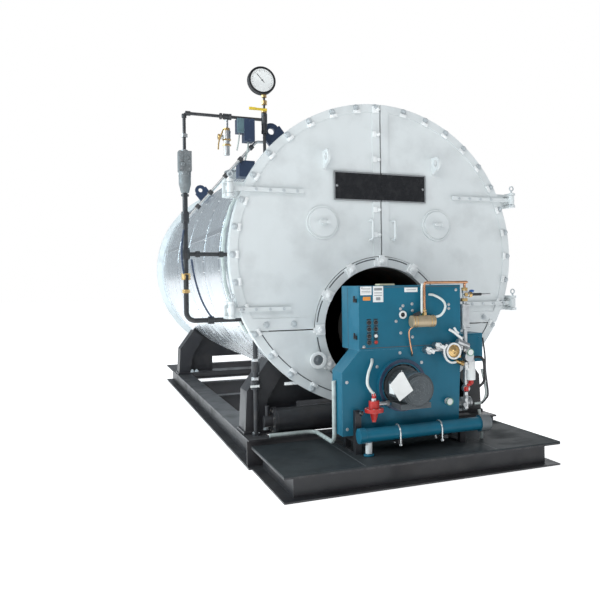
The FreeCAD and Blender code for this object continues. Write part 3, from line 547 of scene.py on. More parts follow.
# Geometry Nodes trees for what repeats round a circle or along a line
def socketsOf(tree, wanted):
    for label, kind, value in wanted:
        sock = tree.interface.new_socket(label, in_out="INPUT", socket_type=kind)
        if value is not None:
            sock.default_value = value
    tree.interface.new_socket("Geometry", in_out="OUTPUT", socket_type="NodeSocketGeometry")
    return tree.nodes.new("NodeGroupInput"), tree.nodes.new("NodeGroupOutput")


# twist each copy about its own Y axis, realize them and give them one material
def twistAndRealize(tree, gin, gout, instances):
    chance = tree.nodes.new("FunctionNodeRandomValue")
    chance.data_type = "FLOAT"
    negative = tree.nodes.new("ShaderNodeMath")
    negative.operation = "MULTIPLY"
    negative.inputs[1].default_value = -1
    tree.links.new(gin.outputs["Wobble"], negative.inputs[0])
    tree.links.new(negative.outputs[0], chance.inputs["Min"])
    tree.links.new(gin.outputs["Wobble"], chance.inputs["Max"])
    tree.links.new(gin.outputs["Seed"], chance.inputs["Seed"])
    angle = tree.nodes.new("ShaderNodeCombineXYZ")
    tree.links.new(chance.outputs[1], angle.inputs["Y"])
    twist = tree.nodes.new("GeometryNodeRotateInstances")
    twist.inputs["Local Space"].default_value = True
    tree.links.new(instances, twist.inputs["Instances"])
    tree.links.new(angle.outputs[0], twist.inputs["Rotation"])
    solid = tree.nodes.new("GeometryNodeRealizeInstances")
    tree.links.new(twist.outputs[0], solid.inputs[0])
    place = tree.nodes.new("GeometryNodeTransform")
    tree.links.new(solid.outputs[0], place.inputs["Geometry"])
    tree.links.new(gin.outputs["Facing"], place.inputs["Rotation"])
    tree.links.new(gin.outputs["Centre"], place.inputs["Translation"])
    paint = tree.nodes.new("GeometryNodeSetMaterial")
    tree.links.new(place.outputs[0], paint.inputs["Geometry"])
    tree.links.new(gin.outputs["Material"], paint.inputs["Material"])
    tree.links.new(paint.outputs[0], gout.inputs[0])


commonInputs = [
    ("Count", "NodeSocketInt", 8),
    ("Bolt", "NodeSocketObject", None),
    ("Material", "NodeSocketMaterial", None),
    ("Centre", "NodeSocketVector", (0, 0, 0)),
    ("Facing", "NodeSocketVector", (0, 0, 0)),
    ("Wobble", "NodeSocketFloat", 0.4),
    ("Seed", "NodeSocketInt", 3),
]

circleTree = bpy.data.node_groups.new("circleOfBolts", "GeometryNodeTree")
gin, gout = socketsOf(circleTree, commonInputs + [("Radius", "NodeSocketFloat", 1.0),
    ("Start", "NodeSocketFloat", 0.0), ("Step", "NodeSocketFloat", 0.1)])
index = circleTree.nodes.new("GeometryNodeInputIndex")
turned = mathNode(circleTree, "MULTIPLY", index.outputs[0], gin.outputs["Step"])
bearing = mathNode(circleTree, "ADD", turned, gin.outputs["Start"])
spotAt = circleTree.nodes.new("ShaderNodeCombineXYZ")
circleTree.links.new(mathNode(circleTree, "MULTIPLY", mathNode(circleTree, "COSINE", bearing, 0.0),
    gin.outputs["Radius"]), spotAt.inputs["X"])
circleTree.links.new(mathNode(circleTree, "MULTIPLY", mathNode(circleTree, "SINE", bearing, 0.0),
    gin.outputs["Radius"]), spotAt.inputs["Z"])
dots = circleTree.nodes.new("GeometryNodePoints")
circleTree.links.new(gin.outputs["Count"], dots.inputs["Count"])
circleTree.links.new(spotAt.outputs[0], dots.inputs["Position"])
heading = circleTree.nodes.new("ShaderNodeCombineXYZ")
circleTree.links.new(mathNode(circleTree, "MULTIPLY", bearing, -1.0), heading.inputs["Y"])
copies = circleTree.nodes.new("GeometryNodeInstanceOnPoints")
master = circleTree.nodes.new("GeometryNodeObjectInfo")
circleTree.links.new(gin.outputs["Bolt"], master.inputs["Object"])
circleTree.links.new(dots.outputs[0], copies.inputs["Points"])
circleTree.links.new(master.outputs["Geometry"], copies.inputs["Instance"])
circleTree.links.new(heading.outputs[0], copies.inputs["Rotation"])
twistAndRealize(circleTree, gin, gout, copies.outputs[0])

lineTree = bpy.data.node_groups.new("lineOfBolts", "GeometryNodeTree")
gin, gout = socketsOf(lineTree, commonInputs + [("Step", "NodeSocketVector", (0.1, 0, 0))])
row = lineTree.nodes.new("GeometryNodeMeshLine")
lineTree.links.new(gin.outputs["Count"], row.inputs["Count"])
lineTree.links.new(gin.outputs["Step"], row.inputs["Offset"])
copies = lineTree.nodes.new("GeometryNodeInstanceOnPoints")
master = lineTree.nodes.new("GeometryNodeObjectInfo")
lineTree.links.new(gin.outputs["Bolt"], master.inputs["Object"])
lineTree.links.new(row.outputs[0], copies.inputs["Points"])
lineTree.links.new(master.outputs["Geometry"], copies.inputs["Instance"])
twistAndRealize(lineTree, gin, gout, copies.outputs[0])


# run a tree once and keep its result as a plain mesh
def runTree(tree, settings, name, look, body, bevel=0):
    holder = bpy.data.objects.new(name + "Maker", bpy.data.meshes.new(name + "Maker"))
    bpy.context.scene.collection.objects.link(holder)
    maker = holder.modifiers.new("maker", "NODES")
    maker.node_group = tree
    ids = {item.name: item.identifier for item in tree.interface.items_tree if item.in_out == "INPUT"}
    for label, value in {**settings, "Material": mats[look]}.items():
        maker[ids[label]] = value
    graph = bpy.context.evaluated_depsgraph_get()
    mesh = bpy.data.meshes.new_from_object(holder.evaluated_get(graph), depsgraph=graph)
    mesh.name = name
    bpy.data.objects.remove(holder)
    return keepMesh(mesh, name, look, body, bevel)


# a part drawn once at the origin, facing -Y, that the trees copy
def makeMaster(name, draw):
    bm = bmesh.new()
    draw(bm)
    bmesh.ops.recalc_face_normals(bm, faces=bm.faces)
    mesh = bpy.data.meshes.new(name)
    bm.to_mesh(mesh)
    bm.free()
    part = bpy.data.objects.new(name, mesh)
    bpy.context.scene.collection.objects.link(part)
    masters.append(part)
    return part


masters = []


def drawNut(bm):
    addRing(bm, (0, 0, 0), (0, -1, 0), 0.009, 0.022, 0.003, 20)
    addHex(bm, (0, -0.003, 0), (0, -1, 0), 0.018, 0.014)
    addRod(bm, (0, -0.016, 0), (0, -0.026, 0), 0.009, 12)


def drawPad(bm):
    addBox(bm, (-0.012, -0.014, -0.026), (0.012, 0, 0.026))
    addBox(bm, (-0.007, -0.02, -0.014), (0.007, -0.013, 0.014))


def drawRingClamp(bm):
    addBox(bm, (-0.031, -0.02, -0.036), (0.033, 0, 0.036))
    addBox(bm, (0.033, -0.02, -0.019), (0.05, 0, 0.019))
    addHex(bm, (0.001, -0.019, 0), (0, -1, 0), 0.021, 0.014)
    addRod(bm, (0.001, -0.032, 0), (0.001, -0.044, 0), 0.0095, 12)


def drawScrew(bm):
    addLathe(bm, (0, 0, 0), (0, -1, 0), [(0, 0), (0.009, 0), (0.009, 0.002), (0.006, 0.0045), (0, 0.0052)], 14)


def drawRivet(bm):
    addLathe(bm, (0, 0, 0), (1, 0, 0), [(0, -0.001), (0.006, -0.001), (0.005, 0.002), (0.0025, 0.003),
        (0, 0.0034)], 8)


def drawTubeBore(bm):
    addLathe(bm, (0, 0, 0), (0, -1, 0), [(0, -0.001), (0.0242, -0.001), (0.0242, 0.001), (0, 0.0012)], 16)


def drawAnchor(bm):
    addLathe(bm, (0, 0, 0), (0, 1, 0), [(0, -0.002), (0.02, -0.002), (0.018, 0.003), (0, 0.004)], 16)
    addHex(bm, (0, 0.003, 0), (0, 1, 0), 0.011, 0.009)


def drawTubeEnd(bm):
    addRing(bm, (0, 0, 0), (0, -1, 0), 0.024, 0.03, 0.006, 16)


def drawFin(bm):
    addBox(bm, (-0.009, -0.09, -0.0018), (0.006, 0.09, 0.0018))


def drawBigBolt(bm):
    addRing(bm, (0, 0, 0), (0, -1, 0), 0.01, 0.026, 0.004, 20)
    addHex(bm, (0, -0.004, 0), (0, -1, 0), 0.022, 0.016)
    addRod(bm, (0, -0.019, 0), (0, -0.032, 0), 0.011, 12)


nut = makeMaster("nut", drawNut)
pad = makeMaster("pad", drawPad)
ringClamp = makeMaster("ringClamp", drawRingClamp)
screw = makeMaster("screw", drawScrew)
rivet = makeMaster("rivet", drawRivet)
tubeEnd = makeMaster("tubeEnd", drawTubeEnd)
fin = makeMaster("fin", drawFin)
tubeBore = makeMaster("tubeBore", drawTubeBore)
anchor = makeMaster("anchor", drawAnchor)
bigBolt = makeMaster("bigBolt", drawBigBolt)
print("stage: masters")

# rim fasteners: each is a nut with a small pad inside it
rimSet = {"nutR": rimR - 0.023, "padR": rimR - 0.053, "face": frontY - 0.008, "step": 10, "wobble": 0.5}
rimRuns = [("door_right", "doorRight", -20, 11), ("door_left", "doorLeft", 92, 1),
    ("door_left", "doorLeft2", 100, 11), ("boiler", "lowerHead", 210, 13)]
for body, label, start, count in rimRuns:
    shared = {"Count": count, "Start": math.radians(start), "Step": math.radians(rimSet["step"]),
        "Centre": (0, rimSet["face"], axisZ), "Seed": 5}
    runTree(circleTree, {**shared, "Bolt": nut, "Radius": rimSet["nutR"], "Wobble": rimSet["wobble"]},
        label + "RimNuts", "nutPaint", body, 0.0012)
    runTree(circleTree, {**shared, "Bolt": pad, "Radius": rimSet["padR"], "Wobble": 0.06}, label + "RimPads",
        "padPaint", body, 0.003)

# seam clamps, bottom strip bolts and the burner ring's clamps
seamSet = {"heights": (2.514, 2.332, 2.15, 1.785, 1.603, 1.397), "padX": -0.046, "nutX": -0.022}
bm = bmesh.new()
for z in seamSet["heights"]:
    addBox(bm, (seamSet["padX"] - 0.016, frontY - 0.024, z - 0.02),
        (seamSet["padX"] + 0.01, frontY - 0.008, z + 0.02))
    addHex(bm, (seamSet["nutX"], frontY - 0.008, z), (0, -1, 0), 0.015, 0.022)
    addRod(bm, (seamSet["nutX"], frontY - 0.028, z), (seamSet["nutX"], frontY - 0.04, z), 0.007, 12)
finishPiece(bm, "seamClamps", "padPaint", "door_left", 0.003)
stripSet = {"outer": 0.855, "step": 0.191, "height": axisZ - 0.476}
for side, body in ((-1, "door_left"), (1, "door_right")):
    runTree(lineTree, {"Count": 2, "Bolt": nut, "Centre": (side * stripSet["outer"], frontY - 0.008,
        stripSet["height"]), "Step": (-side * stripSet["step"], 0, 0), "Seed": 8}, body + "StripNuts",
        "nutPaint", body, 0.0012)
clampSet = {"radius": (ringHigh.x - ringLow.x) / 2 - 0.037, "step": 30}
runTree(circleTree, {"Count": 12, "Start": 0.0, "Step": math.radians(clampSet["step"]),
    "Radius": clampSet["radius"], "Centre": (0, frontY - 0.008, burnerZ), "Bolt": ringClamp, "Wobble": 0.08,
    "Seed": 4}, "burnerRingClamps", "padPaint", "boiler", 0.004)
bm = bmesh.new()
for step in range(12):
    addArcBand(bm, (0, frontY - 0.008, burnerZ), 0.494, 0.503, 0.0006, step * 30 + 6, step * 30 + 24)
addArcBand(bm, (0, frontY - 0.004, axisZ), rimR - 0.0655, rimR - 0.0585, 0.0008, 209, 331)
finishPiece(bm, "headGrooves", "grooveDark", "boiler", 0)

# handhole fittings
handSet = {"x": 0.502, "z": burnerZ - 0.209, "face": frontY - 0.04}
for side in (-1, 1):
    spot = (side * handSet["x"], handSet["face"], handSet["z"])
    bm = bmesh.new()
    addRing(bm, spot, (0, -1, 0), 0.036, 0.06, 0.012, 32)
    finishPiece(bm, "handholeLip%d" % side, "padPaint", "boiler", 0.001)
    bm = bmesh.new()
    addLathe(bm, spot, (0, -1, 0), [(0, 0), (0.036, 0), (0.034, 0.003), (0.012, 0.004), (0, 0.004)], 28)
    addHex(bm, (spot[0], spot[1] - 0.003, spot[2]), (0, -1, 0), 0.014, 0.01)
    finishPiece(bm, "handholePlug%d" % side, "frameGrey", "boiler", 0.001)

# door dressings: port beads, nameplate frames and hinge bolts
for side, body in ((-1, "door_left"), (1, "door_right")):
    low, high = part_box(body + "_port_cover")
    middle = (low + high) / 2
    plateLow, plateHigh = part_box("nameplate_left" if side < 0 else "nameplate_right")
    bm = bmesh.new()
    addRing(bm, (middle.x, frontY - 0.012, middle.z), (0, -1, 0), 0.109, 0.117, 0.005, 48)
    addRing(bm, (middle.x, frontY - 0.026, middle.z), (0, -1, 0), 0.013, 0.03, 0.006, 24)
    finishPiece(bm, body + "PortBead", "frontPaint", body, 0.001)
    bm = bmesh.new()
    face = plateLow.y
    edge = 0.009
    outer = plateLow.x if side < 0 else plateHigh.x
    addBox(bm, (plateLow.x, face - 0.004, plateHigh.z - edge), (plateHigh.x, face + 0.003, plateHigh.z))
    addBox(bm, (plateLow.x, face - 0.004, plateLow.z), (plateHigh.x, face + 0.003, plateLow.z + edge))
    addBox(bm, (min(outer, outer - side * edge), face - 0.0042, plateLow.z),
        (max(outer, outer - side * edge), face + 0.0029, plateHigh.z))
    finishPiece(bm, body + "PlateFrame", "frameGrey", body, 0.001)
    runTree(lineTree, {"Count": 1, "Bolt": screw, "Centre": (outer - side * 0.022, face,
        (plateLow.z + plateHigh.z) / 2)}, body + "PlateScrew", "frameGrey", body)
    bm = bmesh.new()
    for z, reach in ((axisZ + 0.438, 0.585), (axisZ - 0.37, 0.69)):
        for step in range(4):
            x = side * (reach + 0.05 + step * 0.095)
            addHex(bm, (x, frontY - 0.034, z), (0, -1, 0), 0.011, 0.008)
        addBox(bm, (side * 1.08 - 0.012, frontY - 0.075, z - 0.052),
            (side * 1.08 + 0.012, frontY - 0.058, z - 0.036))
    finishPiece(bm, body + "StrapBolts", "nutPaint", body, 0.001)
    bm = bmesh.new()
    for z in (axisZ + 0.438, axisZ - 0.37):
        addRod(bm, (side * 1.095, frontY - 0.055, z + 0.054), (side * 1.095, frontY - 0.055, z + 0.075), 0.007,
            12)
        addRing(bm, (side * 1.095, frontY - 0.06, z + 0.09), (0, 1, 0), 0.012, 0.021, 0.009, 24)
    finishPiece(bm, body + "HingeEyes", "nutPaint", "boiler", 0.001)
plateLow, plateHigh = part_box("nameplate_left")
bm = bmesh.new()
addBox(bm, (-0.0052, plateLow.y + 0.0003, plateLow.z + 0.001),
    (0.0041, plateHigh.y - 0.0005, plateHigh.z - 0.001))
finishPiece(bm, "plateSeamStrip", "blackGloss", "door_left", 0)
print("stage: front")


# burner panel: plates, buttons, screws and the sight port, all on the front of the cabinet
boxLow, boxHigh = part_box("burner_windbox")
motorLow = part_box("blower_motor")[0]
actLow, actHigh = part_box("fuel_actuator")
trainX = 0.412


def panelPlate(bm, x, z, wide, tall, thick=0.002):
    addBox(bm, (x - wide / 2, panelY - thick, z - tall / 2), (x + wide / 2, panelY, z + tall / 2))


plateSet = {
    "white": [(-0.322, 1.203, 0.078, 0.056), (-0.237, 1.18, 0.072, 0.104), (0.0, 1.205, 0.096, 0.03)],
    "orange": [(-0.317, 1.152, 0.052, 0.024)],
    "lines": [(-0.322, 1.215, 0.062, 0.005), (-0.322, 1.2, 0.062, 0.004), (-0.322, 1.19, 0.062, 0.003),
        (-0.237, 1.212, 0.056, 0.016), (-0.237, 1.188, 0.056, 0.005), (-0.237, 1.172, 0.056, 0.005),
        (-0.237, 1.15, 0.03, 0.02), (0.0, 1.205, 0.07, 0.004)],
}
bm = bmesh.new()
for x, z, wide, tall in plateSet["white"]:
    panelPlate(bm, x, z, wide, tall)
finishPiece(bm, "panelPlates", "white", "boiler", 0.0005)
bm = bmesh.new()
for x, z, wide, tall in plateSet["orange"]:
    panelPlate(bm, x, z, wide, tall)
finishPiece(bm, "panelOrangePlate", "orange", "boiler", 0.0005)
bm = bmesh.new()
for x, z, wide, tall in plateSet["lines"]:
    panelPlate(bm, x, z, wide, tall, 0.0026)
finishPiece(bm, "panelPlateBars", "frameGrey", "boiler", 0)

buttonSet = {"columns": (-0.304, -0.257), "rows": (0.996, 0.953, 0.909, 0.868), "white": (1, 2), "red": (1, 3)}
bezels, caps, whiteCap, redCap = bmesh.new(), bmesh.new(), bmesh.new(), bmesh.new()
for column, x in enumerate(buttonSet["columns"]):
    for line, z in enumerate(buttonSet["rows"]):
        addRing(bezels, (x, panelY, z), (0, -1, 0), 0.0115, 0.0165, 0.007, 24)
        spot = (column, line)
        cap = whiteCap if spot == buttonSet["white"] else redCap if spot == buttonSet["red"] else caps
        addLathe(cap, (x, panelY, z), (0, -1, 0), [(0, 0), (0.011, 0), (0.011, 0.009), (0.008, 0.012),
            (0, 0.013)], 20)
        panelPlate(caps, x, z + 0.021, 0.03, 0.006, 0.0015)
finishPiece(bezels, "buttonBezels", "motorGrey", "boiler", 0.0006)
finishPiece(caps, "buttonCaps", "blackGloss", "boiler", 0.0006)
finishPiece(whiteCap, "buttonWhite", "white", "boiler", 0.0006)
finishPiece(redCap, "buttonRed", "red", "boiler", 0.0006)

screwSpots = [(0.006, 1.111), (0.009, 1.066), (0.283, 1.101), (0.283, 1.074), (-0.111, 0.999), (-0.078, 0.921),
    (0.007, 0.891), (-0.086, 0.79), (-0.251, 0.708), (0.072, 0.718), (0.134, 0.577), (-0.078, 1.08),
    (-0.06, 1.1), (-0.34, 0.84), (0.34, 0.84), (0.34, 1.2), (-0.35, 1.22), (-0.46, 0.62), (-0.46, 0.32)]
bm = bmesh.new()
for x, z in screwSpots:
    addRing(bm, (x, panelY, z), (0, -1, 0), 0.004, 0.0105, 0.0015, 14)
    addLathe(bm, (x, panelY, z), (0, -1, 0), [(0, 0), (0.007, 0), (0.007, 0.003), (0.004, 0.005), (0, 0.0055)],
        12)
finishPiece(bm, "panelScrews", "steel", "boiler", 0)

portSet = {"x": -0.064, "z": 1.041}
bm = bmesh.new()
addRing(bm, (portSet["x"], panelY, portSet["z"]), (0, -1, 0), 0.015, 0.027, 0.012, 32)
finishPiece(bm, "sightPortRing", "white", "boiler", 0.001)
bm = bmesh.new()
addLathe(bm, (portSet["x"], panelY, portSet["z"]), (0, -1, 0),
    [(0, 0), (0.0155, 0), (0.0155, 0.006), (0, 0.004)], 28)
finishPiece(bm, "sightPortGlass", "blackGloss", "boiler", 0)
bm = bmesh.new()
for z in (1.14, 0.9):
    addBox(bm, (boxLow.x - 0.012, panelY + 0.03, z - 0.012), (boxLow.x, panelY + 0.075, z + 0.012))
    addBox(bm, (boxLow.x - 0.02, panelY + 0.04, z - 0.004), (boxLow.x - 0.01, panelY + 0.05, z + 0.03))
finishPiece(bm, "cabinetLatches", "blackMatte", "boiler", 0.001)

# grooves along the cabinet's folds, the cream bar on its top and the lid of the side box
bm = bmesh.new()
addBox(bm, (boxLow.x + 0.012, panelY - 0.0015, boxLow.z + 0.012), (boxHigh.x - 0.012, panelY, boxLow.z + 0.016))
addBox(bm, (boxLow.x + 0.004, panelY - 0.0014, boxHigh.z - 0.012),
    (boxHigh.x - 0.004, panelY, boxHigh.z - 0.009))
addBox(bm, (boxLow.x - 0.0014, panelY + 0.2, boxLow.z + 0.01), (boxLow.x, panelY + 0.203, boxHigh.z - 0.01))
addBox(bm, (boxHigh.x, panelY + 0.3, boxLow.z + 0.01), (boxHigh.x + 0.0014, panelY + 0.303, boxHigh.z - 0.01))
finishPiece(bm, "cabinetSeams", "grooveDark", "boiler", 0)
bm = bmesh.new()
addBox(bm, (-0.205, panelY + 0.05, boxHigh.z), (-0.095, panelY + 0.13, boxHigh.z + 0.012))
finishPiece(bm, "creamBar", "creamPaint", "boiler", 0.003)
sideLow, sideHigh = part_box("burner_side_box")
bm = bmesh.new()
addBox(bm, (sideLow.x + 0.012, sideLow.y - 0.004, sideLow.z + 0.012),
    (sideHigh.x - 0.012, sideLow.y, sideHigh.z - 0.012))
for x in (sideLow.x + 0.03, sideHigh.x - 0.03):
    for z in (sideLow.z + 0.03, sideHigh.z - 0.03):
        addLathe(bm, (x, sideLow.y - 0.004, z), (0, -1, 0), [(0, 0), (0.007, 0), (0.006, 0.003), (0, 0.004)],
            12)
finishPiece(bm, "sideBoxLid", "burnerBlue", "boiler", 0.0015)

# blower: dark inlet, fan cowl with a grille, cooling fins and a blank tag
motorX, motorZ, motorR = -0.081, burnerZ - 0.351, 0.103
bm = bmesh.new()
addRing(bm, (motorX, panelY - 0.0005, motorZ), (0, -1, 0), 0.104, 0.1395, 0.004, 48)
for step in range(14):
    angle = 2 * math.pi * step / 14
    addBox(bm, (-0.004, panelY - 0.02, 0.128), (0.004, panelY - 0.004, 0.139),
        Matrix.Translation((motorX, 0, motorZ)) @ Matrix.Rotation(angle, 4, "Y"))
finishPiece(bm, "inletThroat", "grooveDark", "boiler", 0)
bm = bmesh.new()
addRing(bm, (motorX, panelY - 0.031, motorZ), (0, -1, 0), 0.15, 0.171, 0.006, 56)
finishPiece(bm, "inletLip", "navy", "boiler", 0.001)
runTree(circleTree, {"Count": 30, "Radius": motorR - 0.001, "Start": math.radians(-50),
    "Step": math.radians(280 / 29), "Centre": (motorX, panelY - 0.125, motorZ), "Bolt": fin, "Wobble": 0.0,
    "Seed": 1}, "motorFins", "motorGrey", "boiler")
cowlY = motorLow.y
bm = bmesh.new()
addRing(bm, (motorX, cowlY + 0.06, motorZ), (0, -1, 0), motorR - 0.004, motorR + 0.004, 0.046, 48)
for radius in (0.022, 0.037, 0.052, 0.067):
    addRing(bm, (motorX, cowlY + 0.001, motorZ), (0, -1, 0), radius - 0.0022, radius + 0.0022, 0.0012, 40)
for step in range(6):
    addBox(bm, (-0.003, cowlY - 0.0002, 0.018), (0.003, cowlY + 0.001, 0.078),
        Matrix.Translation((motorX, 0, motorZ)) @ Matrix.Rotation(math.radians(60 * step), 4, "Y"))
addLathe(bm, (motorX, cowlY + 0.001, motorZ), (0, -1, 0), [(0, 0), (0.016, 0), (0.013, 0.001), (0, 0.0013)], 24)
finishPiece(bm, "motorCowl", "motorGrey", "boiler", 0.0006)
bm = bmesh.new()
addBox(bm, (motorX - motorR - 0.0335, motorLow.y + 0.085, motorZ - 0.03),
    (motorX - motorR - 0.03, motorLow.y + 0.16, motorZ + 0.03))
finishPiece(bm, "terminalPlate", "white", "boiler", 0.0006)
bm = bmesh.new()
tagPlace = Matrix.Translation((motorX - 0.082, motorLow.y + 0.13, motorZ + 0.071))
tagTurn = Matrix.Rotation(math.radians(-49), 4, "Y") @ Matrix.Rotation(math.radians(90), 4, "X")
addBox(bm, (-0.021, -0.0015, -0.014), (0.021, 0.0015, 0.014), tagPlace @ tagTurn)
finishPiece(bm, "motorOrangeTag", "orange", "boiler", 0.0005)
tagSet = {"face": frontY - 0.792, "corners": [(-0.222, 0.7), (-0.289, 0.628), (-0.222, 0.524), (-0.13, 0.585),
    (-0.2, 0.704)]}
bm = bmesh.new()
addPlate(bm, [(x, tagSet["face"] + 0.02 * (0.7 - z), z) for x, z in tagSet["corners"]], (0, -0.0022, 0))
finishPiece(bm, "blankTag", "white", "boiler", 0.0004)
bm = bmesh.new()
addTube(bm, [(-0.212, tagSet["face"], 0.696), (-0.2, tagSet["face"] + 0.012, 0.712),
    (-0.172, panelY - 0.19, 0.668)], 0.0016, 8)
finishPiece(bm, "tagWire", "steel", "boiler", 0)
print("stage: burner panel and blower")

# hoses and small pipes of the burner
hoseSet = {
    "loopHose": ("hoseWhite", 0.0085, [(0.134, panelY + 0.002, 1.172), (0.16, panelY - 0.03, 1.165),
        (0.21, panelY - 0.055, 1.13), (0.222, panelY - 0.065, 1.085), (0.19, panelY - 0.065, 1.035),
        (0.135, panelY - 0.05, 1.018)]),
    "regulatorHose": ("hoseWhite", 0.0095, [(-0.285, panelY + 0.002, 0.757), (-0.3, panelY - 0.03, 0.735),
        (-0.335, panelY - 0.055, 0.672), (-0.343, panelY - 0.062, 0.61), (-0.322, panelY - 0.063, 0.567),
        (-0.301, panelY - 0.062, 0.545)]),
    "pilotTube": ("copper", 0.0055, [(-0.012, panelY - 0.04, 0.958), (-0.03, panelY - 0.035, 0.94),
        (-0.032, panelY - 0.03, 0.91), (-0.022, panelY - 0.025, 0.85), (-0.008, panelY - 0.02, 0.79),
        (0.002, panelY + 0.002, 0.765)]),
    "paleRiser": ("hoseWhite", 0.0075, [(0.058, panelY - 0.04, 1.05), (0.058, panelY - 0.042, 1.15),
        (0.06, panelY - 0.042, 1.225), (0.068, panelY - 0.041, 1.245)]),
    "blackHose": ("blackGloss", 0.009, [(0.47, panelY + 0.02, 0.722), (0.5, panelY + 0.005, 0.73),
        (0.54, panelY, 0.722), (0.556, panelY, 0.69), (0.56, panelY, 0.62), (0.556, panelY, 0.56),
        (0.52, panelY + 0.01, 0.52)]),
    "greyTube": ("darkPipe", 0.006, [(0.572, panelY + 0.04, 0.86), (0.577, panelY + 0.02, 0.74),
        (0.582, panelY + 0.02, 0.62), (0.6, panelY + 0.02, 0.47), (0.58, panelY + 0.02, 0.43),
        (0.545, panelY + 0.02, 0.4)]),
    "greyTubeTwo": ("conduitGrey", 0.009, [(0.556, panelY + 0.03, 0.64), (0.576, panelY + 0.03, 0.56),
        (0.59, panelY + 0.03, 0.47), (0.56, panelY + 0.03, 0.41), (0.5, panelY + 0.04, 0.4)]),
    "drainTube": ("conduitGrey", 0.011, [(0.53, panelY + 0.03, 0.36), (0.535, panelY + 0.02, 0.3),
        (0.532, panelY, 0.23), (0.53, panelY, 0.165)]),
}
for name, (look, radius, route) in hoseSet.items():
    bm = bmesh.new()
    addTube(bm, route, radius, 12)
    finishPiece(bm, name, look, "boiler", 0)

# fuel actuator and the fittings on it
bm = bmesh.new()
for x in (actLow.x + 0.012, actLow.x + 0.032, actHigh.x - 0.034, actHigh.x - 0.014):
    addRing(bm, (x, panelY - 0.04, 0.996), (1, 0, 0), 0.036, 0.041, 0.005, 36)
addLathe(bm, (actHigh.x, panelY - 0.04, 0.996), (1, 0, 0), [(0, -0.002), (0.03, -0.002), (0.028, 0.004),
    (0, 0.006)], 28)
finishPiece(bm, "actuatorBands", "brass", "boiler", 0.0008)
bm = bmesh.new()
addHex(bm, (0.078, panelY - 0.04, 1.034), (0, 0, 1), 0.018, 0.022)
addHex(bm, (0.078, panelY - 0.04, 1.06), (0, 0, 1), 0.015, 0.014)
addHex(bm, (0.445, panelY + 0.006, 1.166), (1, 0, 0), 0.021, 0.02)
addHex(bm, (trainX, panelY + 0.006, 1.192), (0, 0, 1), 0.024, 0.022)
addHex(bm, (trainX, panelY + 0.006, 1.12), (0, 0, 1), 0.024, 0.02)
addHex(bm, (trainX, panelY - 0.008, 1.166), (0, -1, 0), 0.014, 0.016)
finishPiece(bm, "brassFittings", "brass", "boiler", 0.0008)
bm = bmesh.new()
addHex(bm, (0.108, panelY - 0.05, 1.016), (1, 0, 0), 0.014, 0.03)
addRod(bm, (0.04, panelY - 0.04, 1.034), (0.04, panelY - 0.04, 1.052), 0.012, 16)
finishPiece(bm, "greenFitting", "greenBrass", "boiler", 0.0008)
bm = bmesh.new()
addRod(bm, (-0.005, panelY - 0.045, 1.033), (0.045, panelY - 0.045, 1.052), 0.013, 16)
addRod(bm, (0.46, panelY + 0.006, 1.166), (0.545, panelY + 0.006, 1.166), 0.0095, 16)
finishPiece(bm, "blackSleeves", "blackMatte", "boiler", 0.0008)
bm = bmesh.new()
addRod(bm, (0.468, panelY + 0.006, 1.172), (0.468, panelY + 0.006, 1.184), 0.006, 12)
addLathe(bm, (0.468, panelY + 0.006, 1.182), (0, 0, 1), [(0, 0), (0.016, 0.001), (0.019, 0.008), (0.014, 0.016),
    (0, 0.018)], 16)
finishPiece(bm, "blueKnob", "knobBlue", "boiler", 0.0008)

# valve cluster on the right of the panel
bm = bmesh.new()
for x, z, lean in ((0.1, 0.8, 28), (0.172, 0.826, 22)):
    turned = Matrix.Translation((x, panelY - 0.068, z)) @ Matrix.Rotation(math.radians(lean), 4, "Y")
    addBox(bm, (-0.031, -0.018, -0.009), (-0.008, 0.0, 0.015), turned)
    addBox(bm, (0.008, -0.018, -0.009), (0.031, 0.0, 0.015), turned)
    addBox(bm, (-0.014, -0.014, -0.007), (0.014, 0.0, 0.007), turned)
    addRod(bm, (x, panelY - 0.066, z), (x, panelY - 0.09, z), 0.008, 14)
finishPiece(bm, "wingKnobs", "white", "boiler", 0.003)
bm = bmesh.new()
addRing(bm, (0.275, panelY - 0.076, 0.79), (0, -1, 0), 0.044, 0.056, 0.012, 40)
addTube(bm, [(0.225, panelY - 0.08, 0.835), (0.2, panelY - 0.085, 0.8), (0.212, panelY - 0.085, 0.745),
    (0.25, panelY - 0.08, 0.715), (0.3, panelY - 0.06, 0.712)], 0.0075, 12)
addTube(bm, [(0.257, panelY - 0.05, 0.934), (0.29, panelY - 0.055, 0.915), (0.35, panelY - 0.055, 0.869)],
    0.009, 12)
addTube(bm, [(0.296, panelY - 0.05, 0.945), (0.312, panelY - 0.05, 0.92), (0.33, panelY - 0.05, 0.905)], 0.008,
    12)
finishPiece(bm, "clusterWhiteParts", "white", "boiler", 0.0008)
bm = bmesh.new()
addLathe(bm, (0.275, panelY - 0.076, 0.79), (0, -1, 0), [(0, 0), (0.044, 0), (0.04, 0.004), (0.02, 0.008),
    (0.008, 0.02), (0, 0.021)], 32)
addHex(bm, (0.33, panelY - 0.042, 0.741), (0, 0, 1), 0.02, 0.03)
addRod(bm, (0.3, panelY - 0.05, 0.72), (0.36, panelY - 0.03, 0.7), 0.013, 16)
addHex(bm, (0.352, panelY - 0.032, 0.703), (0.9, 0.2, -0.3), 0.019, 0.024)
finishPiece(bm, "clusterBrass", "brass", "boiler", 0.0008)
bm = bmesh.new()
addRod(bm, (0.318, panelY - 0.05, 0.85), (0.42, panelY - 0.02, 0.812), 0.021, 20)
addRod(bm, (0.355, panelY - 0.04, 0.8), (0.355, panelY - 0.04, 0.88), 0.012, 16)
addHex(bm, (0.355, panelY - 0.04, 0.868), (0, 0, 1), 0.018, 0.012)
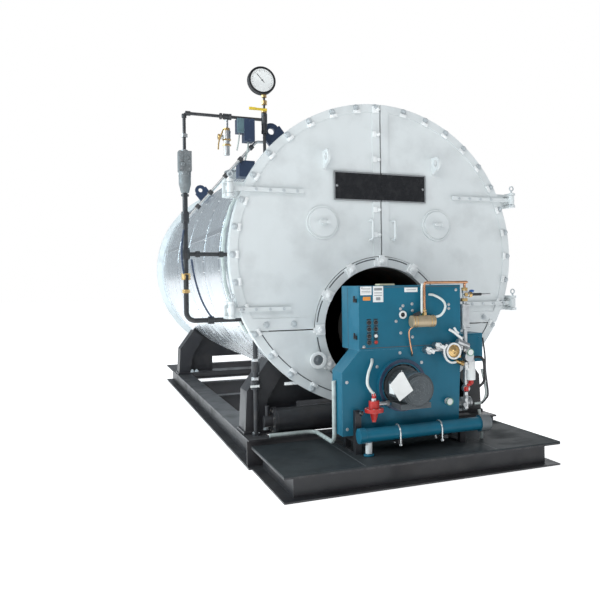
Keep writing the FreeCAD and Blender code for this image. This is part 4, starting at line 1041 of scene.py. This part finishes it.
addLathe(bm, (0.433, panelY - 0.02, 0.706), (0, -1, 0), [(0, -0.03), (0.022, -0.03), (0.03, -0.01),
    (0.03, 0.01), (0.024, 0.022), (0, 0.026)], 24)
addRod(bm, (0.36, panelY - 0.03, 0.7), (0.412, panelY - 0.015, 0.68), 0.012, 16)
addRod(bm, (0.412, panelY + 0.004, 0.7), (0.412, panelY - 0.03, 0.7), 0.012, 16)
addRod(bm, (trainX, panelY + 0.006, 1.088), (trainX, panelY + 0.006, 1.1), 0.036, 28)
addRod(bm, (trainX, panelY + 0.006, 0.925), (trainX, panelY + 0.006, 0.94), 0.036, 28)
finishPiece(bm, "clusterSteel", "steel", "boiler", 0.001)
bm = bmesh.new()
addLathe(bm, (0.416, panelY - 0.056, 0.772), (0, -1, 0), [(0, -0.03), (0.02, -0.03), (0.024, 0), (0.022, 0.006),
    (0, 0.007)], 24)
addLathe(bm, (0.264, panelY - 0.001, 0.445), (0, -1, 0), [(0, 0), (0.022, 0), (0.024, 0.02), (0.024, 0.034),
    (0.02, 0.038), (0, 0.038)], 28)
finishPiece(bm, "smallGauges", "white", "boiler", 0.001)
bm = bmesh.new()
addRing(bm, (0.264, panelY - 0.035, 0.445), (0, -1, 0), 0.0215, 0.0265, 0.006, 28)
addRing(bm, (0.416, panelY - 0.058, 0.772), (0, -1, 0), 0.0205, 0.0255, 0.006, 28)
finishPiece(bm, "smallGaugeBezels", "greenBrass", "boiler", 0.0006)
bm = bmesh.new()
addLathe(bm, (0.44, panelY - 0.02, 0.578), (0, 0, 1), [(0, 0), (0.028, 0), (0.031, 0.004), (0.031, 0.124),
    (0.027, 0.13), (0, 0.132)], 28)
addTube(bm, [(0.397, panelY - 0.03, 0.7), (0.393, panelY - 0.04, 0.672), (0.405, panelY - 0.035, 0.655),
    (0.425, panelY - 0.025, 0.653)], 0.011, 12)
finishPiece(bm, "filterBowl", "white", "boiler", 0.0008)
bm = bmesh.new()
addHex(bm, (0.44, panelY - 0.02, 0.556), (0, 0, 1), 0.02, 0.023)
addRod(bm, (0.405, panelY - 0.005, 0.53), (0.452, panelY - 0.015, 0.558), 0.0115, 16)
addHex(bm, (0.402, panelY - 0.02, 0.505), (0, 0, 1), 0.018, 0.03)
finishPiece(bm, "redValve", "red", "boiler", 0.001)
bm = bmesh.new()
for x in (0.37, 0.392, 0.46):
    addRing(bm, (x, panelY + 0.066, 0.412), (1, 0, 0), 0.036, 0.041, 0.006, 32)
addHex(bm, (0.39, panelY - 0.006, 0.412), (0, -1, 0), 0.017, 0.02)
addHex(bm, (0.412, panelY + 0.006, 0.45), (0, 0, 1), 0.02, 0.022)
finishPiece(bm, "pumpBands", "frameGrey", "boiler", 0.0008)

# regulator, header clamps and coupling, the drain sleeve and a knob on a post
regX, regY = -0.3, panelY - 0.062
bm = bmesh.new()
for step in range(8):
    angle = 2 * math.pi * (step + 0.5) / 8
    spot = (regX + 0.052 * math.cos(angle), regY + 0.052 * math.sin(angle))
    addHex(bm, (*spot, 0.4265), (0, 0, 1), 0.006, 0.028)
addHex(bm, (regX, regY, 0.498), (0, 0, 1), 0.017, 0.018)
addHex(bm, (regX, regY, 0.532), (0, 0, 1), 0.015, 0.014)
finishPiece(bm, "regulatorBolts", "steel", "boiler", 0.0006)
bm = bmesh.new()
addTube(bm, [(-0.285, panelY - 0.062, 0.478), (-0.24, panelY - 0.062, 0.478), (-0.212, panelY - 0.062, 0.478)],
    0.0135, 14)
addHex(bm, (-0.214, panelY - 0.062, 0.478), (1, 0, 0), 0.019, 0.018)
finishPiece(bm, "regulatorOutlet", "steel", "boiler", 0)
headLow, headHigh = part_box("header_pipe")
headerZ, headerY = 0.29, panelY - 0.09
bm = bmesh.new()
for x in (-0.15, 0.15):
    loop = [(x, headerY + 0.049, headerZ - 0.075), (x, headerY + 0.049, headerZ - 0.02),
        (x, headerY + 0.045, headerZ + 0.02), (x, headerY + 0.025, headerZ + 0.043),
        (x, headerY, headerZ + 0.05), (x, headerY - 0.025, headerZ + 0.043),
        (x, headerY - 0.045, headerZ + 0.02), (x, headerY - 0.049, headerZ - 0.02),
        (x, headerY - 0.049, headerZ - 0.075)]
    addTube(bm, loop, 0.0052, 10)
    for y in (headerY - 0.049, headerY + 0.049):
        addHex(bm, (x, y, headerZ - 0.078), (0, 0, 1), 0.011, 0.012)
finishPiece(bm, "headerClamps", "brightSteel", "boiler", 0.0006)
bm = bmesh.new()
addRing(bm, (headHigh.x - 0.075, headerY, headerZ), (1, 0, 0), 0.05, 0.0575, 0.075, 36)
addLathe(bm, (headHigh.x, headerY, headerZ), (1, 0, 0), [(0, -0.003), (0.046, -0.003), (0.044, -0.0005),
    (0, -0.0005)], 32)
finishPiece(bm, "headerCoupling", "castGrey", "boiler", 0.001)
bm = bmesh.new()
addRod(bm, (-0.35, headerY, 0.172), (-0.35, headerY, 0.248), 0.0215, 24)
finishPiece(bm, "drainSleeve", "white", "boiler", 0.0008)
bm = bmesh.new()
addRing(bm, (-0.35, headerY, 0.16), (0, 0, 1), 0.019, 0.034, 0.012, 28)
addRod(bm, (headLow.x + 0.001, headerY, headerZ), (headLow.x + 0.008, headerY, headerZ), 0.03, 24)
finishPiece(bm, "headerTrims", "burnerBlue", "boiler", 0.001)
bm = bmesh.new()
addRod(bm, (-0.395, panelY - 0.03, 0.43), (-0.395, panelY - 0.075, 0.43), 0.009, 14)
addLathe(bm, (-0.395, panelY - 0.075, 0.43), (0, -1, 0), [(0, 0), (0.014, 0), (0.016, 0.01), (0.01, 0.02),
    (0, 0.021)], 20)
finishPiece(bm, "postKnob", "blackGloss", "boiler", 0.0008)
print("stage: burner fittings")

# pressure gauge face, bezel, ticks and needle
gaugeLow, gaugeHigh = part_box("pressure_gauge")
gaugeX, gaugeZ, gaugeFace = (gaugeLow.x + gaugeHigh.x) / 2, gaugeHigh.z - 0.098, gaugeLow.y
bm = bmesh.new()
addRing(bm, (gaugeX, gaugeFace + 0.006, gaugeZ), (0, -1, 0), 0.082, 0.0978, 0.0105, 56)
finishPiece(bm, "gaugeBezel", "blackGloss", "boiler", 0.001)
bm = bmesh.new()
addLathe(bm, (gaugeX, gaugeFace, gaugeZ), (0, -1, 0), [(0, 0), (0.083, 0), (0.083, 0.0012), (0, 0.0012)], 48)
finishPiece(bm, "gaugeDial", "white", "boiler", 0)
bm = bmesh.new()
for step in range(28):
    angle = math.radians(-45 + step * 10)
    inner = 0.064 if step % 3 == 0 else 0.069
    addBox(bm, (-0.0009, gaugeFace - 0.0018, inner), (0.0009, gaugeFace - 0.001, 0.076),
        Matrix.Translation((gaugeX, 0, gaugeZ)) @ Matrix.Rotation(angle - math.pi / 2, 4, "Y"))
addBox(bm, (-0.0016, gaugeFace - 0.0034, -0.022), (0.0016, gaugeFace - 0.0022, 0.058),
    Matrix.Translation((gaugeX, 0, gaugeZ)) @ Matrix.Rotation(math.radians(-42), 4, "Y"))
addLathe(bm, (gaugeX, gaugeFace - 0.001, gaugeZ), (0, -1, 0), [(0, 0), (0.006, 0), (0.005, 0.003), (0, 0.0034)],
    16)
finishPiece(bm, "gaugeMarks", "blackMatte", "boiler", 0)
bm = bmesh.new()
addLathe(bm, (gaugeX, gaugeFace + 0.001, gaugeZ), (0, 1, 0), [(0, 0.043), (0.094, 0.043), (0.092, 0.0449),
    (0, 0.0449)], 48)
finishPiece(bm, "gaugeBack", "darkPipe", "boiler", 0)

# riser fittings: cock with a yellow lever and unions
riserX, lineZ = -0.79, axisZ + jacketR - 0.07
bm = bmesh.new()
addHex(bm, (riserX, trimY, lineZ + 0.108), (0, 0, 1), 0.022, 0.03)
addHex(bm, (riserX, trimY, lineZ + 0.16), (0, 0, 1), 0.019, 0.02)
addRod(bm, (riserX, trimY, lineZ + 0.05), (riserX, trimY, lineZ + 0.078), 0.02, 20)
addRod(bm, (riserX, trimY, lineZ + 0.065), (riserX, trimY - 0.034, lineZ + 0.065), 0.0105, 14)
finishPiece(bm, "gaugeCock", "brass", "boiler", 0.0008)
bm = bmesh.new()
addBox(bm, (riserX - 0.115, trimY - 0.04, lineZ + 0.056), (riserX + 0.012, trimY - 0.033, lineZ + 0.074))
addBox(bm, (riserX - 0.117, trimY - 0.046, lineZ + 0.055), (riserX - 0.07, trimY - 0.034, lineZ + 0.075))
finishPiece(bm, "cockLever", "yellow", "boiler", 0.002)
bm = bmesh.new()
for z, size in ((lineZ - 0.1, 0.0225), (lineZ - 0.04, 0.022), (lineZ + 0.026, 0.022)):
    addHex(bm, (riserX, trimY, z), (0, 0, 1), size, 0.022)
addHex(bm, (-1.105, trimY, lineZ), (1, 0, 0), 0.023, 0.016)
addHex(bm, (-1.04, trimY, lineZ), (1, 0, 0), 0.023, 0.016)
addRod(bm, (-1.343, trimY, lineZ - 0.034), (-1.343, trimY, lineZ - 0.006), 0.0165, 20)
addRod(bm, (-1.335, trimY, lineZ), (-1.3, trimY, lineZ), 0.0165, 20)
finishPiece(bm, "lineFittings", "darkPipe", "boiler", 0.001)
bm = bmesh.new()
addHex(bm, (-1.343, trimY, 2.264), (0, 0, 1), 0.022, 0.024)
addRing(bm, (-1.343, trimY, 2.166), (0, 0, 1), 0.011, 0.024, 0.012, 24)
finishPiece(bm, "columnUnion", "frameGrey", "boiler", 0.001)
colLow, colHigh = columnLow, columnHigh
colMid = (colLow.x + colHigh.x) / 2
bm = bmesh.new()
for x in (colLow.x + 0.014, colHigh.x - 0.014):
    for z in (2.045, 2.098, 2.152):
        addHex(bm, (x, colLow.y, z), (0, -1, 0), 0.008, 0.008)
        addHex(bm, (x, colHigh.y, z), (0, 1, 0), 0.008, 0.008)
for step in range(6):
    angle = 2 * math.pi * step / 6
    spot = (colMid + 0.0345 * math.cos(angle), trimY + 0.0345 * math.sin(angle))
    addHex(bm, (*spot, 2.005), (0, 0, 1), 0.007, 0.026)
finishPiece(bm, "columnBolts", "frameGrey", "boiler", 0.0008)
bm = bmesh.new()
addBox(bm, (colLow.x + 0.003, colLow.y - 0.005, 2.036), (colLow.x + 0.026, colLow.y, 2.16))
addRing(bm, (colMid, trimY, 2.018), (0, 0, 1), 0.034, 0.0418, 0.012, 32)
addRing(bm, (colMid, trimY, 1.994), (0, 0, 1), 0.034, 0.0418, 0.008, 32)
addRod(bm, (colMid - 0.016, colLow.y, 2.075), (colMid - 0.016, colLow.y - 0.012, 2.075), 0.015, 20)
addRod(bm, (colMid + 0.017, colLow.y, 2.12), (colMid + 0.017, colLow.y - 0.01, 2.12), 0.01, 20)
finishPiece(bm, "columnFlanges", "castGrey", "boiler", 0.001)
bm = bmesh.new()
addHex(bm, (-1.343, trimY, 1.29), (0, 0, 1), 0.03, 0.045)
addHex(bm, (-1.343, trimY, 1.2), (0, 0, 1), 0.026, 0.024)
addRod(bm, (-1.343, trimY, 1.31), (-1.343, trimY - 0.05, 1.31), 0.011, 14)
finishPiece(bm, "blowdownCock", "brass", "boiler", 0.0008)
bm = bmesh.new()
addBox(bm, (-1.352, trimY - 0.058, 1.245), (-1.334, trimY - 0.05, 1.325))
finishPiece(bm, "blowdownLever", "blackGloss", "boiler", 0.002)
bm = bmesh.new()
for z in (1.47, 1.716, 1.9):
    addHex(bm, (-1.343, trimY, z - 0.04), (0, 0, 1), 0.026, 0.016)
    addHex(bm, (-1.343, trimY, z + 0.024), (0, 0, 1), 0.026, 0.016)
addHex(bm, (-1.28, trimY, 1.466), (1, 0, 0), 0.024, 0.03)
addHex(bm, (-1.12, trimY, 1.466), (1, 0, 0), 0.024, 0.03)
addHex(bm, (-1.2, trimY, 1.01), (1, 0, 0), 0.03, 0.04)
addRing(bm, (-0.955, trimY, 1.01), (-1, 0, 0), 0.018, 0.042, 0.012, 28)
addRing(bm, (-1.052, trimY, 1.466), (-1, 0, 0), 0.013, 0.036, 0.01, 28)
finishPiece(bm, "columnPipeFittings", "darkPipe", "boiler", 0.001)
bm = bmesh.new()
addTube(bm, [(-1.358, trimY - 0.02, 1.63), (-1.368, trimY - 0.03, 1.56), (-1.374, trimY - 0.03, 1.48),
    (-1.37, trimY - 0.03, 1.4), (-1.36, trimY - 0.02, 1.33)], 0.006, 10)
addTube(bm, [(-1.31, trimY - 0.03, 1.43), (-1.29, trimY - 0.035, 1.3), (-1.25, trimY - 0.035, 1.16),
    (-1.2, trimY - 0.03, 1.06), (-1.16, trimY, 1.02)], 0.0065, 10)
finishPiece(bm, "columnCables", "navy", "boiler", 0)
bm = bmesh.new()
for along in (0.12, 0.3, 0.52, 0.74, 0.9):
    start = Vector((-1.325, trimY, 1.716)).lerp(Vector((-0.85, trimY, 2.27)), along)
    addHex(bm, start, (0.475, 0, 0.554), 0.019, 0.03)
finishPiece(bm, "shoulderUnions", "darkPipe", "boiler", 0.001)
bm = bmesh.new()
for z in (2.225, 2.262):
    addHex(bm, (-1.057, trimY, z), (0, 0, 1), 0.03, 0.012)
addHex(bm, (-1.057, trimY, 2.33), (0, 0, 1), 0.024, 0.02)
addRod(bm, (-1.118, trimY, 2.285), (-1.104, trimY, 2.285), 0.021, 20)
addTube(bm, [(-1.062, trimY - 0.02, 2.335), (-1.085, trimY - 0.03, 2.33), (-1.115, trimY - 0.032, 2.25),
    (-1.122, trimY - 0.032, 2.19)], 0.005, 10)
finishPiece(bm, "safetyValveFittings", "brass", "boiler", 0.0008)
boxSet = {"greyBox": (-0.992, -0.944, 2.318, 2.418, 0.047, "boxTeal"),
    "blueBox": (-0.944, -0.87, 2.26, 2.418, 0.052, "navy")}
for name, (x0, x1, z0, z1, reach, look) in boxSet.items():
    bm = bmesh.new()
    addBox(bm, (x0, trimY - reach, z0), (x1, trimY - reach + 0.012, z1))
    for z in (z0 + 0.012, z1 - 0.012):
        addLathe(bm, ((x0 + x1) / 2, trimY - reach, z), (0, -1, 0),
            [(0, 0), (0.005, 0), (0.004, 0.002), (0, 0.003)], 10)
    finishPiece(bm, name + "Lid", look, "boiler", 0.002)
bm = bmesh.new()
addTube(bm, [(-0.907, trimY, 2.262), (-0.915, trimY - 0.01, 2.2), (-0.925, trimY + 0.02, 2.14),
    (-0.92, trimY + 0.06, 2.11)], 0.006, 10)
addTube(bm, [(-0.968, trimY, 2.32), (-0.975, trimY, 2.26), (-0.985, trimY + 0.01, 2.2)], 0.005, 10)
finishPiece(bm, "boxCables", "conduitGrey", "boiler", 0)
print("stage: left trim")

# jacket: riveted lap bands round the shell and a lap seam down each side
bandSet = {"places": (-1.45, -0.7, 0.3, 1.1, 2.5), "half": 0.03, "thick": 0.0025, "seams": (12, 168),
    "pitch": 0.1}
bm = bmesh.new()
for y in bandSet["places"]:
    addRing(bm, (0, y - bandSet["half"], axisZ), (0, 1, 0), jacketR - 0.001, jacketR + bandSet["thick"],
        2 * bandSet["half"], 144)
for degrees in bandSet["seams"]:
    spin = Matrix.Translation((0, 0, axisZ)) @ Matrix.Rotation(-math.radians(degrees), 4, "Y")
    for start, end in zip(bandSet["places"], bandSet["places"][1:]):
        addBox(bm, (jacketR - 0.002, start + 0.03, -0.02), (jacketR + 0.0018, end - 0.03, 0.02), spin)
finishPiece(bm, "jacketBands", "jacketBand", "boiler", 0)
for index, y in enumerate(bandSet["places"]):
    for side in (-1, 1):
        runTree(circleTree, {"Count": 72, "Start": 0.0, "Step": math.radians(5),
            "Radius": jacketR + bandSet["thick"], "Centre": (0, y + side * 0.019, axisZ), "Bolt": rivet,
            "Wobble": 0.0}, "bandRivets%d%s" % (index, "front" if side < 0 else "rear"), "brightSteel",
            "boiler")
print("stage: jacket")

# rear cover: bolts round the rim and the inspection port, facing the rear
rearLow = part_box("rear_cover")[0]
rearRings = (("rearRimBolts", 36, rimR - 0.03, 0.06, axisZ), ("rearPortBolts", 12, 0.205, 0.076, burnerZ))
for label, count, radius, face, height in rearRings:
    runTree(circleTree, {"Count": count, "Start": 0.05, "Step": 2 * math.pi / count, "Radius": radius,
        "Centre": (0, rearLow.y + face, height), "Facing": (0, 0, math.pi), "Bolt": bigBolt, "Wobble": 0.4,
        "Seed": 6}, label, "nutPaint", "boiler", 0.001)

# tube ends above the furnace, seen when the doors stand open
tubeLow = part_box("tube_sheet")[0]
tubeSet = {"pitch": 0.092, "rise": 0.08, "first": burnerZ + 0.56, "reach": 0.9}
for row in range(10):
    z = tubeSet["first"] + row * tubeSet["rise"]
    half = math.sqrt(max(tubeSet["reach"] ** 2 - (z - axisZ) ** 2, 0)) - 0.03
    shift = tubeSet["pitch"] / 2 if row % 2 else 0
    count = int((half - shift) / tubeSet["pitch"]) * 2 + (2 if row % 2 else 1)
    start = -(count - 1) / 2 * tubeSet["pitch"]
    shared = {"Count": count, "Centre": (start, tubeLow.y, z), "Step": (tubeSet["pitch"], 0, 0), "Wobble": 0.0}
    runTree(lineTree, {**shared, "Bolt": tubeEnd}, "tubeEnds%d" % row, "stackGrey", "boiler")
    runTree(lineTree, {**shared, "Bolt": tubeBore}, "tubeBores%d" % row, "grooveDark", "boiler")
for side, body in ((-1, "door_left"), (1, "door_right")):
    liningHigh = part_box(body + "_lining")[1]
    runTree(circleTree, {"Count": 7, "Start": math.radians(18 if side > 0 else 102), "Step": math.radians(10),
        "Radius": 0.82, "Centre": (0, liningHigh.y, axisZ), "Facing": (0, 0, 0), "Bolt": anchor, "Wobble": 0.3,
        "Seed": 2}, body + "Anchors", "millSteel", body)
print("stage: inside")

# skid: bolts on the saddles, weld beads, deck seams and the pale bar under the doors
def topBolts(label, count, start, step, look):
    runTree(lineTree, {"Count": count, "Centre": start, "Step": step, "Facing": (-math.pi / 2, 0, 0),
        "Bolt": bigBolt, "Wobble": 0.5, "Seed": 9}, label, look, "boiler", 0.001)


deckLow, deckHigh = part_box("deck_plate")
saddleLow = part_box("saddles")[0]
collarLow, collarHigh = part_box("flue_collar")
for label, centreY in (("front", frontY + 0.33), ("rear", (collarLow.y + collarHigh.y) / 2)):
    for side in (-1, 1):
        topBolts("saddleBolts%s%d" % (label, side), 2, (side * 0.785 - 0.025, centreY - 0.1,
            saddleLow.z + 0.02), (0.05, 0, 0), "nutPaint")
bm = bmesh.new()
for x in (-0.46, 0.46):
    addBox(bm, (x - 0.0018, deckLow.y + 0.002, deckHigh.z), (x + 0.0018, deckHigh.y - 0.002,
        deckHigh.z + 0.0006))
finishPiece(bm, "deckSeams", "grooveDark", "boiler", 0)
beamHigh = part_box("skid_beams")[1]
bm = bmesh.new()
for side in (-1, 1):
    for y in (-1.0, 0.0, 1.0):
        for z in (0.0165, 0.1835):
            addTube(bm, [(side * 0.815, y - 0.05, z), (side * 0.815, y, z + 0.001),
                (side * 0.815, y + 0.05, z)], 0.005, 8)
finishPiece(bm, "weldBeads", "millSteel", "boiler", 0)
bm = bmesh.new()
addBox(bm, (-0.72, frontY + 0.045, 0.55), (-0.51, frontY + 0.06, 0.572))
finishPiece(bm, "paleBar", "brightSteel", "boiler", 0.002)
drainLow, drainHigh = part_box("drain_pipe")
drainX, drainY = (drainLow.x + drainHigh.x) / 2, (drainLow.y + drainHigh.y) / 2
bm = bmesh.new()
for step in range(4):
    angle = math.pi / 4 + step * math.pi / 2
    addHex(bm, (drainX + 0.023 * math.cos(angle), drainY + 0.023 * math.sin(angle), 0.213), (0, 0, 1), 0.0055,
        0.008)
addHex(bm, (drainX, drainY, 0.585), (0, 0, 1), 0.03, 0.02)
addHex(bm, (drainX, drainY, 0.715), (0, 0, 1), 0.028, 0.02)
addRod(bm, (drainX, drainY - 0.02, 0.55), (drainX, drainY - 0.06, 0.55), 0.009, 14)
finishPiece(bm, "drainFittings", "steel", "boiler", 0.0008)
bm = bmesh.new()
addBox(bm, (drainX - 0.05, drainY - 0.068, 0.542), (drainX + 0.012, drainY - 0.06, 0.558))
finishPiece(bm, "drainLever", "white", "boiler", 0.0015)
bm = bmesh.new()
beamX = beamHigh.x - 0.08
for end, turn in ((0.11 - beamX, -1), (beamX - 0.29, 1)):
    for step in range(8):
        angle = math.pi / 8 + step * math.pi / 4
        addHex(bm, (end, frontY + 0.125 + 0.075 * math.cos(angle), 0.297 + 0.075 * math.sin(angle)),
            (turn, 0, 0), 0.009, 0.008)
finishPiece(bm, "crossPipeBolts", "millSteel", "boiler", 0.0006)

# stack necks: a weld ring at the foot of each
bm = bmesh.new()
flueR, nozzleR, weldWidth = (collarHigh.x - collarLow.x) / 2 - 0.11, 0.094, 0.01
for name, inner in (("flue_collar", flueR), ("steam_nozzle", nozzleR)):
    low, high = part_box(name)
    foot = ((low.x + high.x) / 2, (low.y + high.y) / 2, high.z - 0.0215)
    addRing(bm, foot, (0, 0, 1), inner, inner + weldWidth, 0.006, 48)
finishPiece(bm, "stackWelds", "stackGrey", "boiler", 0)
print("stage: skid")

for part in masters:
    bpy.data.objects.remove(part)
print("stage: masters removed")

floorMesh = bpy.data.meshes.new("floor")
floorMesh.from_pydata([(-60, -60, 0), (60, -60, 0), (60, 60, 0), (-60, 60, 0)], [], [(0, 1, 2, 3)])
floorObj = bpy.data.objects.new("floor", floorMesh)
bpy.context.scene.collection.objects.link(floorObj)
floorMesh.materials.append(mats["floorPale"])
floorObj.location.z = -0.002
